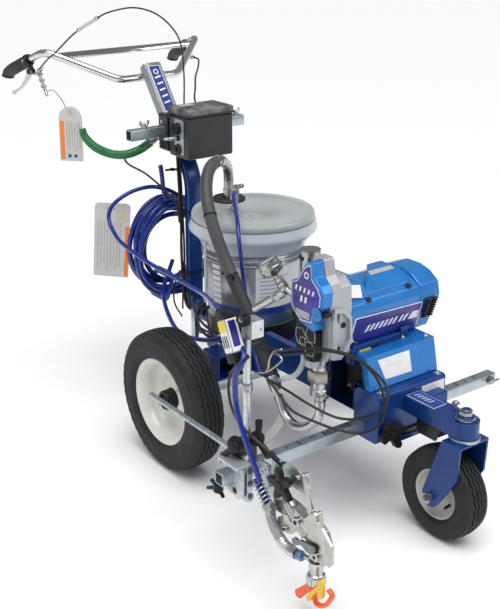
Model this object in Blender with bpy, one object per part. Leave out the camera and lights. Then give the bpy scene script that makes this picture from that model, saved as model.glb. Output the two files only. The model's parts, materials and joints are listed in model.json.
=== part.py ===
"""Line striping machine: walk-behind airless paint striper on three wheels.

Frame: metres, +Z up, +X forward (towards the swivel caster), +Y the machine's left.
The origin is on the floor, under the middle of the rear axle.
Every sub-part is one closed solid. Moving pieces have their origin on their joint's axis.
"""
import math

import bmesh
import bpy
from mathutils import Matrix, Vector

# ---------------------------------------------------------------- driving dimensions
GAP = 0.0005                 # clearance between neighbouring solids

REAR_TYRE_RADIUS = 0.203     # 16 inch pneumatic tyre
REAR_TYRE_WIDTH = 0.100
REAR_RIM_RADIUS = 0.126
REAR_WHEEL_Y = 0.3525        # mid-plane of each rear tyre
AXLE_RADIUS = 0.008
AXLE_TUBE = 0.032            # square tube around the rear axle

CASTER_TYRE_RADIUS = 0.1235
CASTER_TYRE_WIDTH = 0.080
CASTER_HUB_RADIUS = 0.066
KINGPIN_X = 0.774
CASTER_TRAIL = 0.054
FORK_HALF_WIDTH = 0.051
FORK_PLATE = 0.006
FORK_TOP_Z = 0.2960

DECK_Z = 0.296               # top of the frame tray
TRAY_HALF_WIDTH = 0.118
TRAY_REAR_X = -0.165
TRAY_FRONT_X = 0.150
TRAY_BOTTOM_Z = 0.246
MAST_FOOT_Z = 0.266          # centre of the mast's forward run under the tray
SHEET = 0.005

MAST_X = -0.401
MAST_WIDTH = 0.054
MAST_DEPTH = 0.026
MAST_BEND_Z = 0.660
HANDLE_LEAN = math.radians(36.7)     # lean of the handle post, back from vertical
POST_TOP = Vector((-0.636, 0.0, 1.021))
POST_OFFSET = (POST_TOP.z - MAST_BEND_Z) * math.tan(HANDLE_LEAN) + POST_TOP.x - MAST_X
MAST_BEND_RADIUS = POST_OFFSET / (math.sin(HANDLE_LEAN) * math.tan(HANDLE_LEAN) - 1 + math.cos(HANDLE_LEAN))
POST_WIDTH = 0.060
POST_DEPTH = 0.032
POST_LENGTH = 0.190
POST_WALL = 0.0025
MAST_IN_POST = 0.150         # length of mast inside the post

BAR_RADIUS = 0.0125          # handlebar tube
GRIP_RADIUS = 0.0170
BAR_CORNER = Vector((-0.641, 0.108, 0.984))
BAR_BEND = Vector((-0.797, 0.285, 1.067))
GRIP_END = Vector((-1.005, 0.320, 0.978))
GRIP_LENGTH = 0.130
LEVER_PIVOT = Vector((-0.874, 0.298, 0.997))
LEVER_TIP = Vector((-0.972, 0.314, 0.914))

BOX_LOW = Vector((-0.405, -0.082, 0.787))
BOX_HIGH = Vector((-0.300, 0.082, 0.914))
BOX_LID_HEIGHT = 0.023

PAIL_X = -0.089
PAIL_BASE_RADIUS = 0.131
PAIL_TOP_RADIUS = 0.149
PAIL_TOP_Z = 0.610
LID_RADIUS = 0.180
LID_TOP_Z = 0.676
GROMMET = Vector((-0.211, 0.000, 0.0))

PUMP_X = 0.458               # pump axis
PUMP_Y = -0.200
HOUSING_Y = (-0.2035, -0.148)
COVER_Y = (-0.252, -0.204)
SHROUD_Y = (-0.1475, 0.156)
MOTOR_AXIS = Vector((0.425, 0.0, 0.545))

BAR_SIZE = 0.03175           # gun bar, square tube
BAR_WALL = 0.003
BAR_X = 0.5257
BAR_Z = 0.2636
BAR_Y = (-0.561, 0.380)
FRONT_BOX_X = (0.500, 0.593)
FRONT_BOX_Z = (0.234, 0.370)
ARM_TOP_Z = 0.349
ARM_BOTTOM_Z = 0.306

GUN_Y = -0.490               # plane of the spray gun
GUN_X = 0.800                # nozzle axis
STAR_PIVOT = Vector((0.719, -0.500, 0.328))

POLE_X = 0.5257
POLE_Y = -0.478
POLE_TOP_Z = 0.612
ROD_Y = -0.4995
ROD_Z = 0.312

# ---------------------------------------------------------------- finishes
FINISH = {
    "blue_paint": ((0.010, 0.075, 0.420), 0.0, 0.28),
    "light_blue_paint": ((0.050, 0.280, 0.800), 0.0, 0.30),
    "dark_blue_paint": ((0.006, 0.030, 0.180), 0.0, 0.35),
    "silver_paint": ((0.620, 0.640, 0.660), 0.3, 0.38),
    "white_paint": ((0.800, 0.790, 0.740), 0.0, 0.35),
    "zinc": ((0.640, 0.660, 0.680), 1.0, 0.35),
    "chrome": ((0.760, 0.770, 0.780), 1.0, 0.12),
    "steel": ((0.500, 0.500, 0.510), 1.0, 0.30),
    "aluminium": ((0.720, 0.730, 0.740), 1.0, 0.30),
    "black_plastic": ((0.015, 0.015, 0.017), 0.0, 0.45),
    "grey_plastic": ((0.330, 0.340, 0.350), 0.0, 0.45),
    "clear_plastic": ((0.620, 0.680, 0.700), 0.0, 0.25),
    "blue_rubber": ((0.010, 0.030, 0.300), 0.0, 0.35),
    "rubber": ((0.018, 0.018, 0.019), 0.0, 0.70),
    "orange_plastic": ((0.850, 0.080, 0.020), 0.0, 0.40),
    "yellow_plastic": ((0.800, 0.450, 0.020), 0.0, 0.40),
}


def make_material(name, finish):
    colour, metallic, roughness = FINISH[finish]
    material = bpy.data.materials.new(name + "_finish")
    material.use_nodes = True
    shader = material.node_tree.nodes["Principled BSDF"]
    shader.inputs["Base Color"].default_value = (*colour, 1.0)
    shader.inputs["Metallic"].default_value = metallic
    shader.inputs["Roughness"].default_value = roughness
    material.diffuse_color = (*colour, 1.0)
    return material


# ---------------------------------------------------------------- building blocks
def body(name, place=(0.0, 0.0, 0.0), parent=None):
    """An empty that carries one rigid body, placed on its joint."""
    empty = bpy.data.objects.new(name + "_body", None)
    bpy.context.collection.objects.link(empty)
    empty.empty_display_size = 0.03
    parent_place = Vector()
    if parent is not None:
        empty.parent = parent
        parent_place = world_place(parent)
    empty.location = Vector(place) - parent_place
    return empty


def world_place(obj):
    place = obj.location.copy()
    while obj.parent is not None:
        obj = obj.parent
        place += obj.location
    return place


def solid(name, bm, finish, carrier, smooth_angle=35.0):
    """Turn a bmesh in world coordinates into a named object carried by a body."""
    bmesh.ops.remove_doubles(bm, verts=bm.verts, dist=1e-6)
    bmesh.ops.recalc_face_normals(bm, faces=bm.faces)
    origin = world_place(carrier)
    bmesh.ops.translate(bm, verts=bm.verts, vec=-origin)
    mesh = bpy.data.meshes.new(name)
    bm.to_mesh(mesh)
    bm.free()
    mesh.shade_smooth()
    mesh.set_sharp_from_angle(angle=math.radians(smooth_angle))
    obj = bpy.data.objects.new(name, mesh)
    bpy.context.collection.objects.link(obj)
    obj.parent = carrier
    mesh.materials.append(make_material(name, finish))
    return obj


def combine(obj, tool_bm, operation):
    """Add a live Boolean of a bmesh tool in world coordinates to an object."""
    bmesh.ops.recalc_face_normals(tool_bm, faces=tool_bm.faces)
    mesh = bpy.data.meshes.new(obj.name + "_tool")
    bmesh.ops.translate(tool_bm, verts=tool_bm.verts, vec=-world_place(obj.parent))
    tool_bm.to_mesh(mesh)
    tool_bm.free()
    tool = bpy.data.objects.new(obj.name + "_tool", mesh)
    bpy.context.collection.objects.link(tool)
    tool.parent = obj.parent
    tool.hide_render = True
    tool.display_type = "WIRE"
    modifier = obj.modifiers.new(operation.lower(), "BOOLEAN")
    modifier.object = tool
    modifier.operation = operation
    modifier.solver = "EXACT"


def cut(obj, tool_bm):
    combine(obj, tool_bm, "DIFFERENCE")


def weld(obj, tool_bm):
    combine(obj, tool_bm, "UNION")


def block(low, high, bevel=0.0, segments=1):
    """A box between two corners, with all its edges bevelled."""
    bm = bmesh.new()
    low, high = Vector(low), Vector(high)
    size = high - low
    bmesh.ops.create_cube(bm, size=1.0, matrix=Matrix.Diagonal((*size, 1.0)))
    bmesh.ops.translate(bm, verts=bm.verts, vec=(low + high) / 2)
    if bevel:
        bmesh.ops.bevel(bm, geom=bm.edges[:], offset=bevel, segments=segments,
                        affect="EDGES", profile=0.5)
    return bm


def prism(outline, axis, low, high):
    """Extrude a closed outline. Its pairs are the two other axes, in x-y-z order."""
    bm = bmesh.new()
    index = "xyz".index(axis)
    others = [i for i in range(3) if i != index]

    def ring(level):
        verts = []
        for pair in outline:
            point = [0.0, 0.0, 0.0]
            point[index] = level
            point[others[0]], point[others[1]] = pair
            verts.append(bm.verts.new(point))
        return verts

    first, last = ring(low), ring(high)
    bm.faces.new(first)
    bm.faces.new(last)
    count = len(outline)
    for i in range(count):
        j = (i + 1) % count
        bm.faces.new((first[i], first[j], last[j], last[i]))
    bmesh.ops.recalc_face_normals(bm, faces=bm.faces)
    return bm


def rounded(points, radius, steps=3):
    """Round the corners of a closed 2-D outline. radius is one value or one per corner."""
    result = []
    count = len(points)
    radii = radius if isinstance(radius, (list, tuple)) else [radius] * count
    for i, corner in enumerate(points):
        here = Vector(corner)
        before = Vector(points[i - 1]) - here
        after = Vector(points[(i + 1) % count]) - here
        if radii[i] <= 0.0:
            result.append(tuple(here))
            continue
        half = before.angle(after) / 2
        reach = min(radii[i] / math.tan(half), before.length * 0.49, after.length * 0.49)
        centre_distance = reach / math.cos(half)
        middle = (before.normalized() + after.normalized()).normalized()
        centre = here + middle * centre_distance
        start = here + before.normalized() * reach - centre
        end = here + after.normalized() * reach - centre
        for step in range(steps + 1):
            part = step / steps
            arm = start.lerp(end, part).normalized() * start.length
            result.append(tuple(centre + arm))
    return result


def frame_from(direction):
    """Rotation whose local Z is the given direction."""
    return Vector(direction).to_track_quat("Z", "Y").to_matrix().to_4x4()


def turned(profile, place, direction=(0, 0, 1), segments=24):
    """Revolve a profile of (radius, height) around an axis.

    A profile that starts and ends on the axis is open; any other closes on itself as a ring.
    """
    bm = bmesh.new()
    ring_shaped = profile[0][0] > 1e-9 and profile[-1][0] > 1e-9
    rows = []
    for radius, height in profile:
        if radius <= 1e-9:
            rows.append([bm.verts.new((0.0, 0.0, height))])
            continue
        rows.append([bm.verts.new((radius * math.cos(2 * math.pi * k / segments),
                                   radius * math.sin(2 * math.pi * k / segments), height))
                     for k in range(segments)])
    pairs = list(zip(rows, rows[1:]))
    if ring_shaped:
        pairs.append((rows[-1], rows[0]))
    for one, two in pairs:
        for k in range(segments):
            n = (k + 1) % segments
            corners = [one[k % len(one)], one[n % len(one)], two[n % len(two)], two[k % len(two)]]
            unique = list(dict.fromkeys(corners))
            if len(unique) > 2:
                bm.faces.new(unique)
    bmesh.ops.transform(bm, matrix=Matrix.Translation(Vector(place)) @ frame_from(direction),
                        verts=bm.verts)
    bmesh.ops.recalc_face_normals(bm, faces=bm.faces)
    return bm


def disc(radius, low, high, place, direction=(0, 0, 1), segments=24):
    return turned([(0, low), (radius, low), (radius, high), (0, high)], place, direction, segments)


def smooth_path(points, radius, steps=4):
    """Replace each inner corner of a 3-D path by an arc of the given radius."""
    points = [Vector(p) for p in points]
    result = [points[0]]
    for i in range(1, len(points) - 1):
        here = points[i]
        before, after = points[i - 1] - here, points[i + 1] - here
        half = before.angle(after) / 2
        if half > math.radians(89.5):
            result.append(here)
            continue
        reach = min(radius / math.tan(half), before.length * 0.48, after.length * 0.48)
        centre = here + (before.normalized() + after.normalized()).normalized() * reach / math.cos(half)
        start = here + before.normalized() * reach - centre
        end = here + after.normalized() * reach - centre
        for step in range(steps + 1):
            arm = start.lerp(end, step / steps).normalized() * start.length
            result.append(centre + arm)
    result.append(points[-1])
    return result


def curve_path(points, per_span=5):
    """A smooth Catmull-Rom path through the given points."""
    points = [Vector(p) for p in points]
    ends = [points[0] * 2 - points[1], *points, points[-1] * 2 - points[-2]]
    result = []
    for i in range(1, len(ends) - 2):
        p0, p1, p2, p3 = ends[i - 1:i + 3]
        for step in range(per_span):
            t = step / per_span
            result.append(0.5 * (2 * p1 + (p2 - p0) * t + (2 * p0 - 5 * p1 + 4 * p2 - p3) * t * t
                                 + (3 * p1 - p0 - 3 * p2 + p3) * t ** 3))
    result.append(points[-1])
    return result


def circle_section(radius, segments):
    return [(radius * math.cos(2 * math.pi * k / segments),
             radius * math.sin(2 * math.pi * k / segments)) for k in range(segments)]


def box_section(width, depth, corner, steps=2):
    w, d = width / 2, depth / 2
    return rounded([(-w, -d), (w, -d), (w, d), (-w, d)], corner, steps)


def path_frames(path, side):
    """Frames along a path: a side vector carried without twist, and its normal."""
    frames = []
    side = Vector(side)
    for i, point in enumerate(path):
        before = (point - path[i - 1]).normalized() if i else None
        after = (path[i + 1] - point).normalized() if i < len(path) - 1 else None
        if before is None:
            tangent = after
        elif after is None:
            tangent = before
        else:
            tangent = (before + after).normalized()
        side = (side - tangent * side.dot(tangent)).normalized()
        frames.append((point, side, tangent.cross(side)))
    return frames


def rings_along(bm, path, section, side):
    rows = []
    for point, across, up in path_frames(path, side):
        rows.append([bm.verts.new(point + across * a + up * b) for a, b in section])
    return rows


def bridge(bm, one, two):
    count = len(one)
    for k in range(count):
        n = (k + 1) % count
        bm.faces.new((one[k], one[n], two[n], two[k]))


def swept(path, section, side=(0, 1, 0)):
    """A solid bar of constant section along a path."""
    bm = bmesh.new()
    rows = rings_along(bm, path, section, side)
    for one, two in zip(rows, rows[1:]):
        bridge(bm, one, two)
    bm.faces.new(rows[0])
    bm.faces.new(rows[-1])
    bmesh.ops.recalc_face_normals(bm, faces=bm.faces)
    return bm


def swept_tube(path, outer, inner, side=(0, 1, 0), closed_end=0.0):
    """A tube along a path, open at both ends, or closed at its far end by a wall."""
    bm = bmesh.new()
    outside = rings_along(bm, path, outer, side)
    inner_path = list(path)
    if closed_end:
        back = (path[-2] - path[-1]).normalized()
        inner_path = inner_path[:-1] + [path[-1] + back * closed_end]
    inside = rings_along(bm, inner_path, inner, side)
    for rows in (outside, inside):
        for one, two in zip(rows, rows[1:]):
            bridge(bm, one, two)
    bridge(bm, outside[0], inside[0])
    if closed_end:
        bm.faces.new(outside[-1])
        bm.faces.new(inside[-1])
    else:
        bridge(bm, outside[-1], inside[-1])
    bmesh.ops.recalc_face_normals(bm, faces=bm.faces)
    return bm


def mirrored(vector, side):
    return Vector((vector.x, vector.y * side, vector.z))


def lean(distance, forward=0.0, across=0.0):
    """A point on the handle post's axis, measured down from its top."""
    down = Vector((math.sin(HANDLE_LEAN), 0.0, -math.cos(HANDLE_LEAN)))
    ahead = Vector((math.cos(HANDLE_LEAN), 0.0, math.sin(HANDLE_LEAN)))
    return POST_TOP + down * distance + ahead * forward + Vector((0.0, across, 0.0))


# ---------------------------------------------------------------- chassis
def build_frame(chassis):
    t, w = SHEET, TRAY_HALF_WIDTH
    floor_z = TRAY_BOTTOM_Z
    section = [(-w, floor_z), (-w, DECK_Z), (w, DECK_Z), (w, floor_z),
               (w - t, floor_z), (w - t, DECK_Z - t), (-w + t, DECK_Z - t), (-w + t, floor_z)]
    tray = solid("frame_tray", prism(section, "x", TRAY_REAR_X, TRAY_FRONT_X), "blue_paint", chassis)
    for side in (-1, 1):
        low_y, high_y = sorted((side * (w - t / 2), side * 0.205))
        weld(tray, block((-0.060, low_y, 0.2200), (0.020, high_y, DECK_Z)))
        inner_low, inner_high = sorted((side * (w + 0.004), side * 0.200))
        cut(tray, block((-0.054, inner_low, 0.2260), (0.030, inner_high, DECK_Z - 0.006)))

    half, middle_end = AXLE_TUBE / 2, 0.290
    section = [(a, b + REAR_TYRE_RADIUS) for a, b in box_section(2 * half, 2 * half, 0.003)]
    axle = solid("rear_axle", prism(section, "y", -middle_end, middle_end), "zinc", chassis)
    shaft_end = REAR_WHEEL_Y + 0.050
    for side in (-1, 1):
        stub = [(0, middle_end - 0.020), (AXLE_RADIUS, middle_end - 0.020), (AXLE_RADIUS, shaft_end - 0.001),
                (AXLE_RADIUS - 0.001, shaft_end), (0, shaft_end)]
        weld(axle, turned(stub, (0, 0, REAR_TYRE_RADIUS), (0, side, 0), 16))


def build_front(chassis):
    low_x, high_x = FRONT_BOX_X
    low_z, high_z = FRONT_BOX_Z
    w = TRAY_HALF_WIDTH
    outer = rounded([(low_x, low_z), (high_x, low_z), (high_x, high_z), (low_x, high_z)],
                    [0.012, 0.012, 0.008, 0.022])
    box = solid("front_box", prism(outer, "y", -w, w), "blue_paint", chassis)
    cut(box, block((low_x + SHEET, -w + SHEET, low_z - 0.01), (high_x - SHEET, w - SHEET, high_z - SHEET)))
    hole = BAR_SIZE / 2 + 0.0010
    cut(box, block((BAR_X - hole, -w - 0.01, BAR_Z - hole), (BAR_X + hole, w + 0.01, BAR_Z + hole)))

    arm_half, nose = 0.029, 0.035
    start_x = high_x + GAP
    outline = [(start_x, arm_half)]
    outline += [(start_x, -arm_half)]
    sweep_angle = math.radians(90)
    for step in range(13):
        angle = -sweep_angle + 2 * sweep_angle * step / 12
        outline.append((KINGPIN_X + nose * math.cos(angle), nose * math.sin(angle)))
    arm = solid("front_arm", prism(outline, "z", ARM_BOTTOM_Z, ARM_TOP_Z), "blue_paint", chassis)
    cut(arm, disc(0.0125, ARM_BOTTOM_Z - 0.01, ARM_TOP_Z + 0.01, (KINGPIN_X, 0, 0), segments=20))

    lock_top = ARM_BOTTOM_Z - GAP
    lock = [(0.672, 0.268), (0.709, 0.275), (0.711, 0.2978), (0.733, 0.2978), (0.733, lock_top), (0.665, lock_top)]
    solid("caster_lock", prism(rounded(lock, 0.002, 1), "y", -0.018, 0.018), "black_plastic", chassis)

    cradle_z = 0.385
    t, lip = 0.004, 0.022
    base = DECK_Z + GAP
    section = [(-w, base), (-w, cradle_z), (-w + lip, cradle_z), (-w + lip, cradle_z - t),
               (-w + t, cradle_z - t), (-w + t, base + t), (w - t, base + t), (w - t, cradle_z - t),
               (w - lip, cradle_z - t), (w - lip, cradle_z), (w, cradle_z), (w, base)]
    solid("drive_cradle", prism(section, "x", 0.120, 0.400), "blue_paint", chassis)


def build_battery(chassis):
    w = TRAY_HALF_WIDTH
    base = DECK_Z + GAP
    outline = [(0.402, base), (0.4395, base), (0.4990, base), (0.4990, 0.3735), (0.534, 0.3735),
               (0.516, 0.447), (0.432, 0.447), (0.402, 0.420)]
    tray = solid("battery_tray", prism(outline, "y", -w, w), "dark_blue_paint", chassis)
    inner = [(0.406, base + 0.004), (0.495, base + 0.004), (0.495, 0.3775), (0.529, 0.3775),
             (0.513, 0.443), (0.434, 0.443), (0.406, 0.418)]
    cut(tray, prism(inner, "y", -w - 0.010, w - SHEET))
    solid("battery_pack", block((0.412, -0.070, base + 0.006), (0.490, 0.100, 0.4100), 0.004),
          "black_plastic", chassis)
    cover = [(0.440, 0.4475), (0.5190, 0.4475), (0.5390, 0.3715), (0.5620, 0.3715),
             (0.5420, 0.4580), (0.440, 0.4580)]
    lid = solid("battery_cover", prism(cover, "y", -0.120, 0.120), "light_blue_paint", chassis)
    cut(lid, block((0.5, -0.2, 0.30), (0.60, 0.2, FRONT_BOX_Z[1] + GAP)))


def build_mast(chassis):
    arc = []
    for step in range(7):
        angle = HANDLE_LEAN * step / 6
        arc.append(Vector((MAST_X - MAST_BEND_RADIUS * (1 - math.cos(angle)), 0,
                           MAST_BEND_Z + MAST_BEND_RADIUS * math.sin(angle))))
    mast_top = lean(POST_LENGTH - MAST_IN_POST)
    foot = smooth_path([(0.060, 0, MAST_FOOT_Z), (MAST_X - 0.004, 0, MAST_FOOT_Z), arc[0]], 0.045, 5)
    path = [*foot[:-1], *arc, mast_top]
    solid("mast", swept(path, box_section(MAST_WIDTH, MAST_DEPTH, 0.006)), "blue_paint", chassis)

    bracket = solid("mast_bracket", block((-0.470, -0.080, 0.793), (BOX_LOW.x - GAP, 0.080, 0.905), 0.004),
                    "black_plastic", chassis)
    slot = [(-0.500, 0.760), (-0.395, 0.760), (-0.424, 0.795), (-0.520, 0.924)]
    cut(bracket, prism(slot, "y", -0.034, 0.034))
    hole = BAR_SIZE / 2 + GAP
    tube_x, tube_z = -0.430, 0.857
    cut(bracket, block((tube_x - hole, -0.1, tube_z - hole), (tube_x + hole, 0.1, tube_z + hole)))
    ends = [Vector((tube_x, -0.208, tube_z)), Vector((tube_x, 0.208, tube_z))]
    inner = BAR_SIZE - 2 * BAR_WALL
    solid("accessory_tube", swept_tube(ends, box_section(BAR_SIZE, BAR_SIZE, 0.003),
                                       box_section(inner, inner, 0.001), side=(1, 0, 0)), "zinc", chassis)


def build_control_box(chassis):
    box = solid("control_box", block(BOX_LOW, BOX_HIGH, 0.004), "black_plastic", chassis)
    wall = 0.004
    cut(box, block(BOX_LOW + Vector((wall, wall, wall)), BOX_HIGH + Vector((-wall, -wall, 0.02))))
    hinge = Vector((BOX_LOW.x, 0, BOX_HIGH.z + 0.002))
    lid_body = body("control_box_lid", hinge, chassis)
    lid = block((BOX_LOW.x - 0.001, BOX_LOW.y - 0.002, BOX_HIGH.z + GAP),
                (BOX_HIGH.x + 0.003, BOX_HIGH.y + 0.002, BOX_HIGH.z + BOX_LID_HEIGHT), 0.004)
    solid("control_box_lid", lid, "black_plastic", lid_body)
    knob_place = Vector((-0.350, BOX_LOW.y, 0.876))
    knob_body = body("pressure_knob", knob_place, chassis)
    knob = turned([(0, GAP), (0.010, GAP), (0.011, 0.004), (0.010, 0.014), (0.008, 0.016), (0, 0.016)],
                  knob_place, (0, -1, 0), 16)
    solid("pressure_knob", knob, "black_plastic", knob_body)


def build_drive(chassis):
    y0, y1 = HOUSING_Y
    outline = rounded([(0.414, 0.458), (0.500, 0.458), (0.512, 0.475), (0.512, 0.662), (0.494, 0.686),
                       (0.484, 0.726), (0.446, 0.726), (0.436, 0.690), (0.414, 0.668)], 0.006, 2)
    housing = solid("bearing_housing", prism(outline, "y", y0, y1), "silver_paint", chassis)
    cut(housing, disc(0.046, y0 - 0.01, y1 - 0.012, (PUMP_X, 0, MOTOR_AXIS.z + 0.03), (0, 1, 0), 24))
    cut(housing, block((PUMP_X - 0.020, y0 - 0.01, 0.44), (PUMP_X + 0.020, y1 - 0.012, 0.56)))
    cut(housing, disc(0.012, y1 - 0.02, y1 + 0.02, (MOTOR_AXIS.x + 0.02, 0, MOTOR_AXIS.z + 0.03), (0, 1, 0), 16))

    y0, y1 = COVER_Y
    cover = [(0.400, 0.590), (0.402, 0.655), (0.424, 0.664), (0.452, 0.708), (0.470, 0.722), (0.482, 0.722),
             (0.486, 0.682), (0.512, 0.662), (0.524, 0.645), (0.520, 0.612), (0.492, 0.596), (0.488, 0.566),
             (0.492, 0.540), (0.438, 0.556), (0.420, 0.572)]
    cap = solid("drive_cover", prism(rounded(cover, 0.005, 1), "y", y0, y1), "blue_paint", chassis)
    cut(cap, disc(0.034, y0 + 0.012, y1 + 0.01, (PUMP_X, 0, MOTOR_AXIS.z + 0.068), (0, 1, 0), 20))

    guard = [(0.408, 0.485), (0.432, 0.462), (0.486, 0.462), (0.4865, 0.5385), (0.438, 0.5550),
             (0.422, 0.5650), (0.408, 0.540)]
    cage = solid("rod_guard", prism(rounded(guard, 0.004, 1), "y", -0.240, -0.2045), "black_plastic", chassis)
    cut(cage, block((PUMP_X - 0.012, -0.215, 0.44), (PUMP_X + 0.012, -0.20, 0.53)))

    shroud = [(0.352, 0.4600), (0.478, 0.4600), (0.500, 0.512), (0.512, 0.572), (0.504, 0.592),
              (0.482, 0.610), (0.446, 0.622), (0.390, 0.624), (0.350, 0.608), (0.330, 0.565), (0.330, 0.485)]
    y0, y1 = SHROUD_Y
    case = solid("motor_shroud", prism(rounded(shroud, 0.012, 2), "y", y0, y1), "blue_paint", chassis)
    # raised end beside the housing, sloping down to the body
    raised = [(y0, 0.600), (y0, 0.668), (y0 + 0.072, 0.642), (y0 + 0.072, 0.600)]
    weld(case, prism(raised, "x", 0.376, 0.462))
    cut(case, disc(0.060, y0 - 0.01, y1 - 0.012, (MOTOR_AXIS.x - 0.004, 0, MOTOR_AXIS.z), (0, 1, 0), 24))

    rotor_body = body("motor_rotor", MOTOR_AXIS, chassis)
    rotor = turned([(0, -0.138), (0.010, -0.138), (0.010, -0.110), (0.045, -0.105), (0.045, 0.100),
                    (0.010, 0.105), (0.010, 0.120), (0, 0.120)], MOTOR_AXIS, (0, 1, 0), 20)
    solid("motor_rotor", rotor, "steel", rotor_body)

    gear_place = Vector((PUMP_X, -0.180, MOTOR_AXIS.z + 0.030))
    gear_body = body("drive_gear", gear_place, chassis)
    gear = turned([(0, -0.018), (0.012, -0.018), (0.012, -0.006), (0.040, -0.004), (0.040, 0.012),
                   (0.010, 0.014), (0, 0.014)], gear_place, (0, 1, 0), 24)
    solid("drive_gear", gear, "steel", gear_body)


def build_pump(chassis):
    place = (PUMP_X, PUMP_Y, 0)
    profile = [(0.0085, 0.450), (0.0085, 0.400), (0.006, 0.395), (0.006, 0.352), (0.017, 0.352),
               (0.024, 0.358), (0.024, 0.366), (0.021, 0.370), (0.021, 0.390), (0.026, 0.393),
               (0.026, 0.414), (0.0215, 0.418), (0.0215, 0.450)]
    lower = turned(profile, place, segments=20)
    solid("pump_cylinder", lower, "aluminium", chassis)
    rod_place = Vector((PUMP_X, PUMP_Y, 0.47))
    rod_body = body("pump_rod", rod_place, chassis)
    rod = turned([(0, 0.412), (0.0075, 0.412), (0.0075, 0.500), (0, 0.500)], place, segments=16)
    solid("pump_rod", rod, "chrome", rod_body)

    inlet = smooth_path([(PUMP_X, PUMP_Y, 0.351), (PUMP_X, PUMP_Y, 0.250), (0.400, PUMP_Y, 0.213),
                         (0.335, PUMP_Y, 0.222), (0.268, PUMP_Y, 0.325)], 0.042, 3)
    solid("intake_tube", swept_tube(inlet, circle_section(0.0135, 10), circle_section(0.0105, 10)),
          "aluminium", chassis)
    hose = curve_path([(0.2675, PUMP_Y, 0.3260), (0.218, PUMP_Y, 0.388), (0.171, -0.202, 0.461),
                       (0.115, -0.204, 0.531), (0.061, -0.205, 0.596), (0.017, -0.207, 0.663),
                       (-0.013, -0.205, 0.712), (-0.051, -0.190, 0.761), (-0.083, -0.165, 0.797),
                       (-0.105, -0.138, 0.817)], 1)
    meeting, along = Vector((-0.122, -0.110, 0.823)), Vector((-0.52, 0.854, 0.0)).normalized()
    hose += [meeting - along * 0.006, meeting]
    solid("suction_hose", swept_tube(hose, circle_section(0.0175, 10), circle_section(0.0142, 10)),
          "rubber", chassis)
    pipe = [meeting + along * GAP, meeting + along * 0.006]
    pipe += curve_path([(-0.154, -0.060, 0.812), (-0.186, -0.020, 0.781), (GROMMET.x, GROMMET.y, 0.740)], 4)
    pipe += [Vector((GROMMET.x, GROMMET.y, z)) for z in (0.700, 0.600)]
    pipe.append(Vector((GROMMET.x + 0.015, GROMMET.y, 0.335)))
    solid("suction_pipe", swept_tube(pipe, circle_section(0.0138, 10), circle_section(0.0115, 10)),
          "chrome", chassis)

    filter_place = (0.384, -0.176, 0)
    bowl = turned([(0, 0.500), (0.022, 0.500), (0.0245, 0.505), (0.0245, 0.655), (0.0258, 0.660),
                   (0.0258, 0.712), (0.022, 0.716), (0, 0.716)], filter_place, segments=20)
    solid("filter_housing", bowl, "zinc", chassis)
    gauge_place = Vector((0.288, -0.226, 0.650))
    gauge_axis = Vector((-0.45, -0.30, 0.84)).normalized()
    gauge = solid("pressure_gauge", turned([(0, -0.018), (0.026, -0.018), (0.030, -0.014), (0.030, 0.014),
                                            (0.027, 0.018), (0.024, 0.014), (0, 0.014)],
                                           gauge_place, gauge_axis, 24), "steel", chassis)
    stem = swept([gauge_place + Vector((0.010, 0.004, -0.010)), Vector((0.330, -0.214, 0.605)),
                  Vector((0.372, -0.208, 0.588))], circle_section(0.0085, 10))
    weld(gauge, stem)


def build_hose_coil(chassis):
    centre = Vector((-0.486, -0.030, 0.466))
    ring = turned([(0.112, -0.034), (0.140, -0.038), (0.158, -0.022), (0.158, 0.022), (0.140, 0.038),
                   (0.112, 0.034)], centre, (1, 0, 0), 28)
    solid("hose_coil", ring, "blue_rubber", chassis)


# ---------------------------------------------------------------- wheels
def tyre_profile(radius, width, bead_radius, bead_width):
    """Cross-section ring of a tyre with a rounded tread, thick enough to be one solid."""
    w, b = width / 2, bead_width / 2
    shoulder = radius - 0.020
    wall = bead_radius + (radius - bead_radius) * 0.35
    outside = [(bead_radius, -b), (wall, -w), (shoulder, -w * 0.94), (radius - 0.006, -w * 0.72), (radius, -w * 0.28)]
    return outside + [(r, -h) for r, h in reversed(outside)]


def build_rear_wheel(side, chassis):
    name = "left" if side > 0 else "right"
    hub = Vector((0, side * REAR_WHEEL_Y, REAR_TYRE_RADIUS))
    wheel = body("rear_wheel_" + name, hub, chassis)
    bead = REAR_RIM_RADIUS - 0.012
    tyre = turned(tyre_profile(REAR_TYRE_RADIUS, REAR_TYRE_WIDTH, bead, 0.062), hub, (0, side, 0), 32)
    solid("rear_tyre_" + name, tyre, "rubber", wheel)
    bore = AXLE_RADIUS + GAP
    edge = bead - GAP
    profile = [(bore, 0.044), (bore, -0.052), (0.020, -0.052), (0.024, -0.022), (0.080, -0.016),
               (0.100, -0.032), (edge, -0.036), (edge, 0.036), (0.104, 0.034), (0.094, 0.020),
               (0.060, -0.004), (0.034, -0.006), (0.030, 0.044)]
    solid("rear_rim_" + name, turned(profile, hub, (0, side, 0), 24), "white_paint", wheel)


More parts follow.
